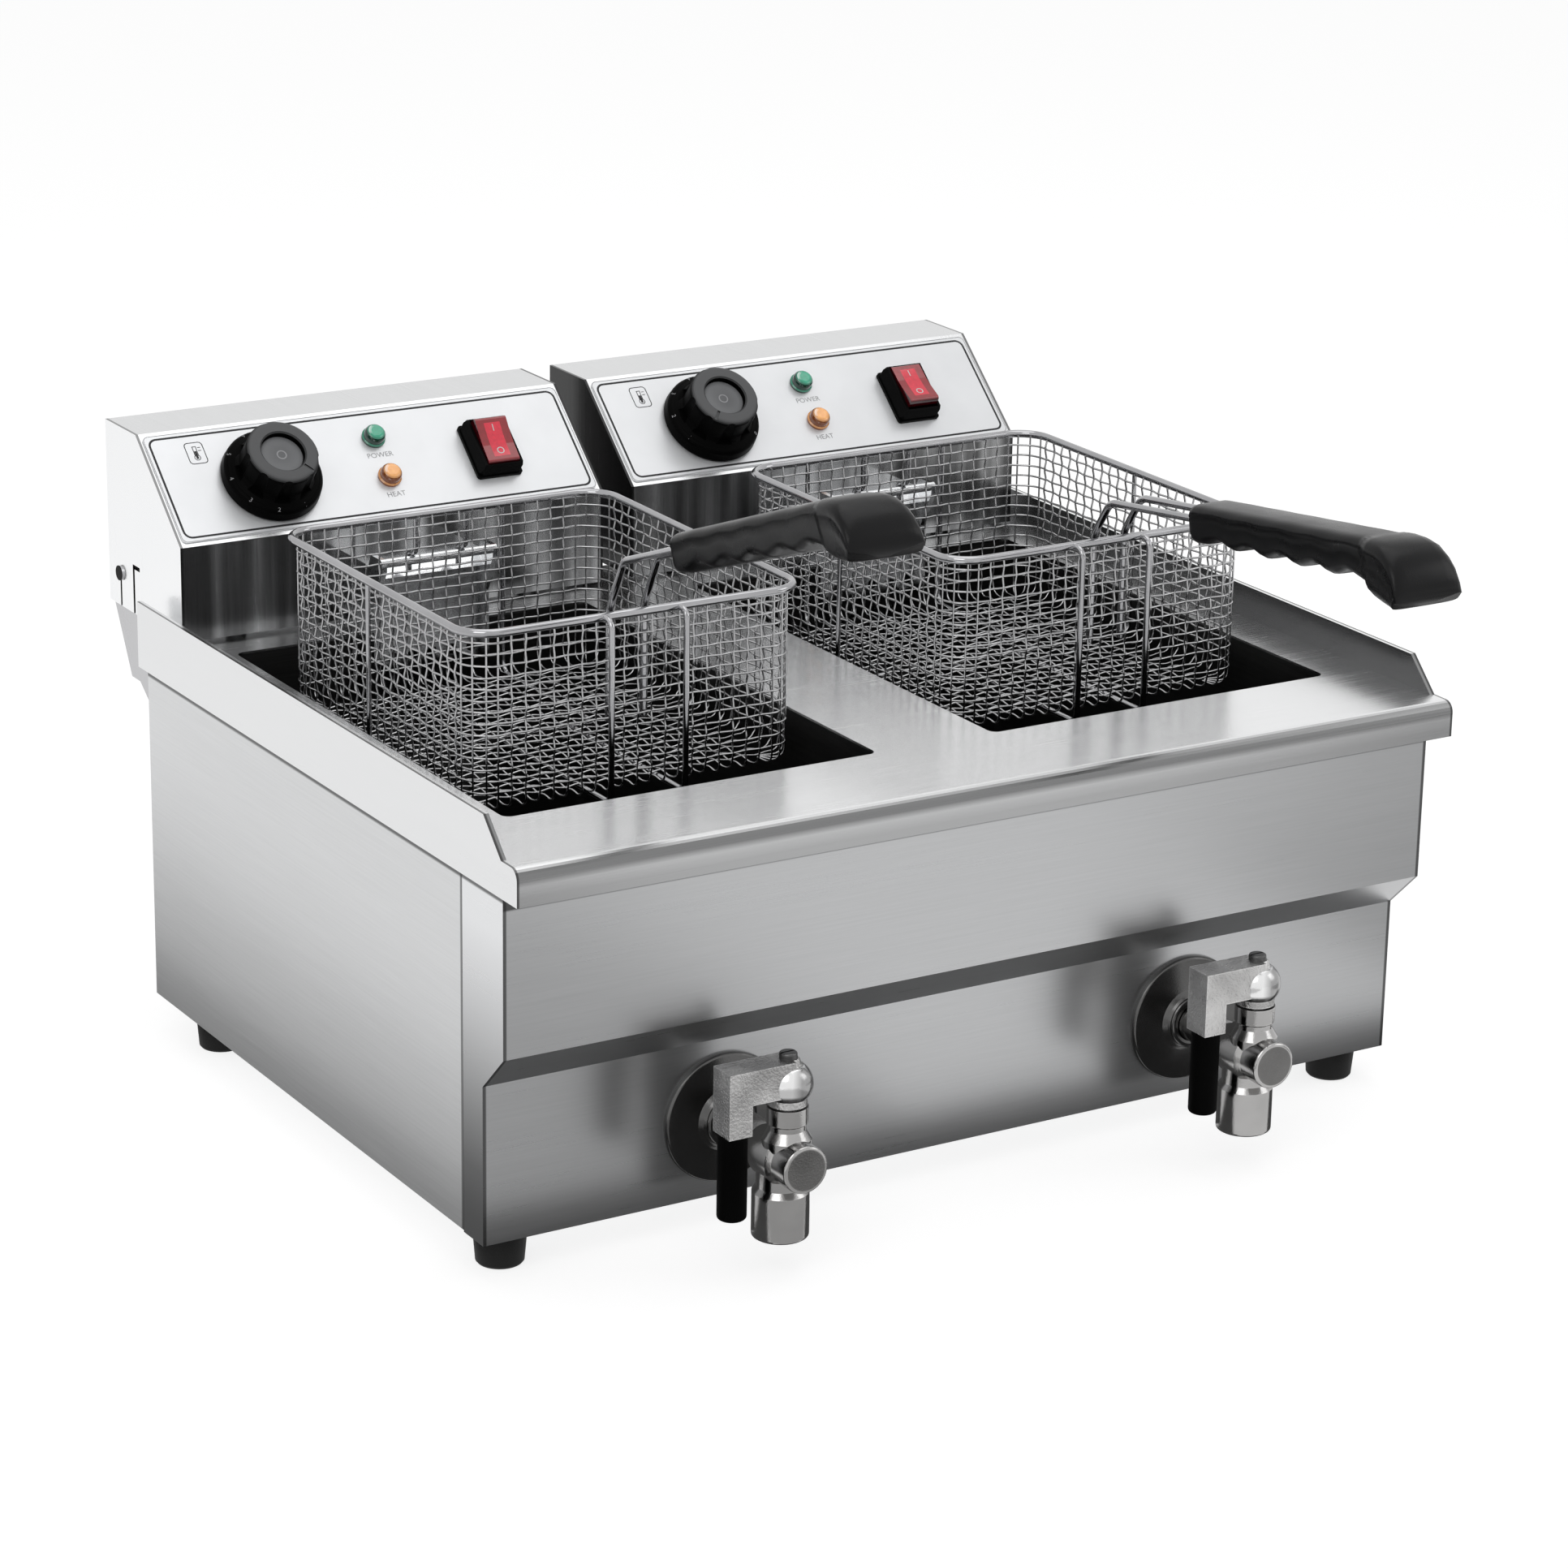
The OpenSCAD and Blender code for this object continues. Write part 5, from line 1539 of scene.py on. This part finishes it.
@dataclass
class Studio:
    """Pale floor, white surround, soft lamps and the camera."""

    lens: float = 107.85
    eye: Point = (-1256.86, -2079.97, 741.20)
    right: Point = (0.856306, -0.516204, 0.016551)
    up: Point = (0.150397, 0.279887, 0.948179)
    back: Point = (-0.494086, -0.809442, 0.317305)

    def camera(self) -> None:
        """Sets the camera."""
        data = bpy.data.cameras.new("camera")
        data.lens, data.sensor_width, data.clip_end = self.lens, 36.0, 50.0
        obj = show("camera", data)
        turn = Matrix((self.right, self.up, self.back)).transposed().to_4x4()
        obj.matrix_world = Matrix.Translation(deck(*self.eye)) @ turn
        bpy.context.scene.camera = obj

    def shown_white(self, tree: Tree) -> NodeSocket:
        """Finds the rays that see the plain white surround.

        Args:
            tree: where the nodes go.

        Returns:
            Their mask.
        """
        rays = tree.add("ShaderNodeLightPath").outputs
        either = tree.math("MAXIMUM", rays["Is Camera Ray"], rays["Is Glossy Ray"])
        return tree.math("MAXIMUM", either, rays["Is Transmission Ray"])

    def surround(self) -> None:
        """Builds the world."""
        world = bpy.data.worlds.new("surround")
        bpy.context.scene.world = world
        tree = Tree(empty_tree(world))
        soft, plain = (tree.make("ShaderNodeBackground", {0: grey(1.0), 1: level}) for level in (0.42, 1.0))
        both = tree.make("ShaderNodeMixShader", {0: self.shown_white(tree), 1: soft, 2: plain})
        tree.add("ShaderNodeOutputWorld", {0: both})

    def sheet(self, name: str, corners: Sequence[Point]) -> tuple[Object, Tree]:
        """Adds one four-cornered face.

        Args:
            name: of the object and its material.
            corners: in metres.

        Returns:
            The object and the empty tree of its material.
        """
        mesh = bpy.data.meshes.new(name)
        mesh.from_pydata(corners, [], [(0, 1, 2, 3)])
        material = bpy.data.materials.new(name)
        mesh.materials.append(material)
        return show(name, mesh), Tree(empty_tree(material))

    def floor(self) -> None:
        """Builds the floor, which stays pale and keeps a soft shadow."""
        obj, tree = self.sheet("floor", [(-6, -6, 0), (6, -6, 0), (6, 6, 0), (-6, 6, 0)])
        mottle = tree.noise(tree.add("ShaderNodeTexCoord").outputs["Object"], 3.0, 3.0)
        diffuse = tree.make("ShaderNodeBsdfDiffuse", {0: tree.mix(mottle, grey(0.80), grey(0.84))})
        glow = tree.make("ShaderNodeEmission", {0: grey(1.0), 1: 0.78})
        weak = tree.make("ShaderNodeBsdfDiffuse", {0: grey(0.42)})
        seen = tree.make("ShaderNodeAddShader", {0: glow, 1: weak})
        both = tree.make("ShaderNodeMixShader", {0: self.shown_white(tree), 1: diffuse, 2: seen})
        tree.add("ShaderNodeOutputMaterial", {"Surface": both})

    def lamp(self, name: str, place: Point, size: float, power: float) -> None:
        """Adds one square soft lamp that faces the machine.

        Args:
            name: the lamp's name.
            place: its centre in metres.
            size: its side in metres.
            power: its power in watts.
        """
        data = bpy.data.lights.new(name, "AREA")
        data.shape, data.size, data.energy = "SQUARE", size, power
        obj = show(name, data)
        obj.location = place
        obj.rotation_euler = (Vector((0.0, 0.0, 0.2)) - Vector(place)).to_track_quat("-Z", "Y").to_euler()

    def card(self, name: str, corners: Sequence[Point], level: float) -> None:
        """Places a grey card that only the metal's reflections see.

        Args:
            name: the card's name.
            corners: its four corners in metres.
            level: how light it is, from 0 to 1.
        """
        obj, tree = self.sheet(name, corners)
        tone = tree.make("ShaderNodeEmission", {0: grey(1.0), 1: level})
        tree.add("ShaderNodeOutputMaterial", {"Surface": tone})
        obj.visible_camera = obj.visible_diffuse = obj.visible_shadow = False

    def floor_card(self, name: str, x: Flat, y: Flat, level: float) -> None:
        """Lays a card just over the floor, between two x and two y in metres."""
        z = 1.5 * MM
        self.card(name, ((x[0], y[0], z), (x[1], y[0], z), (x[1], y[1], z), (x[0], y[1], z)), level)

    def tap_card(self, side: Side) -> None:
        """Stands a black card behind a tap, which darkens the tap's image in the front panel.

        Args:
            side: the tap's side.
        """
        x, y, z = deck(TANK_X * side.sign, -240.0, TAP_Z)
        left, right, low, high = x - 24 * MM, x + 14 * MM, z - 45 * MM, z + 48 * MM
        self.card(side.node("tap_card"), ((left, y, low), (right, y, low), (right, y, high), (left, y, high)), 0.09)

    def build(self) -> None:
        """Builds the studio."""
        self.camera()
        self.surround()
        self.floor()
        self.lamp("key_lamp", (-1.9, -1.6, 2.4), 1.6, 15.0)
        self.lamp("top_lamp", (0.3, 0.2, 2.6), 2.0, 14.0)
        self.lamp("right_lamp", (2.2, -1.4, 1.5), 1.2, 6.0)
        for name, x, y, level in (
            ("near_card", (-0.5, 0.36), (-0.225, -0.155), 0.10),
            ("front_left_card", (-0.5, 0.02), (-0.85, -0.23), 0.60),
            ("front_right_card", (0.385, 1.0), (-0.60, -0.23), 0.55),
            ("upper_right_card", (0.62, 1.0), (-0.95, -0.60), 0.60),
            ("side_near_card", (-0.33, -0.28), (-0.25, 0.6), 0.30),
            ("side_far_card", (-0.41, -0.33), (-0.25, 0.7), 0.62),
        ):
            self.floor_card(name, x, y, level)
        for side in Side:
            self.tap_card(side)
        scene = bpy.context.scene
        scene.view_settings.view_transform = "Standard"


def main() -> None:
    """Builds the fryer's looks and its studio."""
    logging.basicConfig(level=logging.INFO, format="%(name)s: %(message)s")
    Studio().build()
    Cabinet().build()
    for side in Side:
        DrainTap(side).build()
        ControlHead(side).build()
        Basket(side).build()
        Handle(side).build()
        for end in (-1, 1):
            HingePin(side, end).cap()


if __name__ == "__main__":
    main()
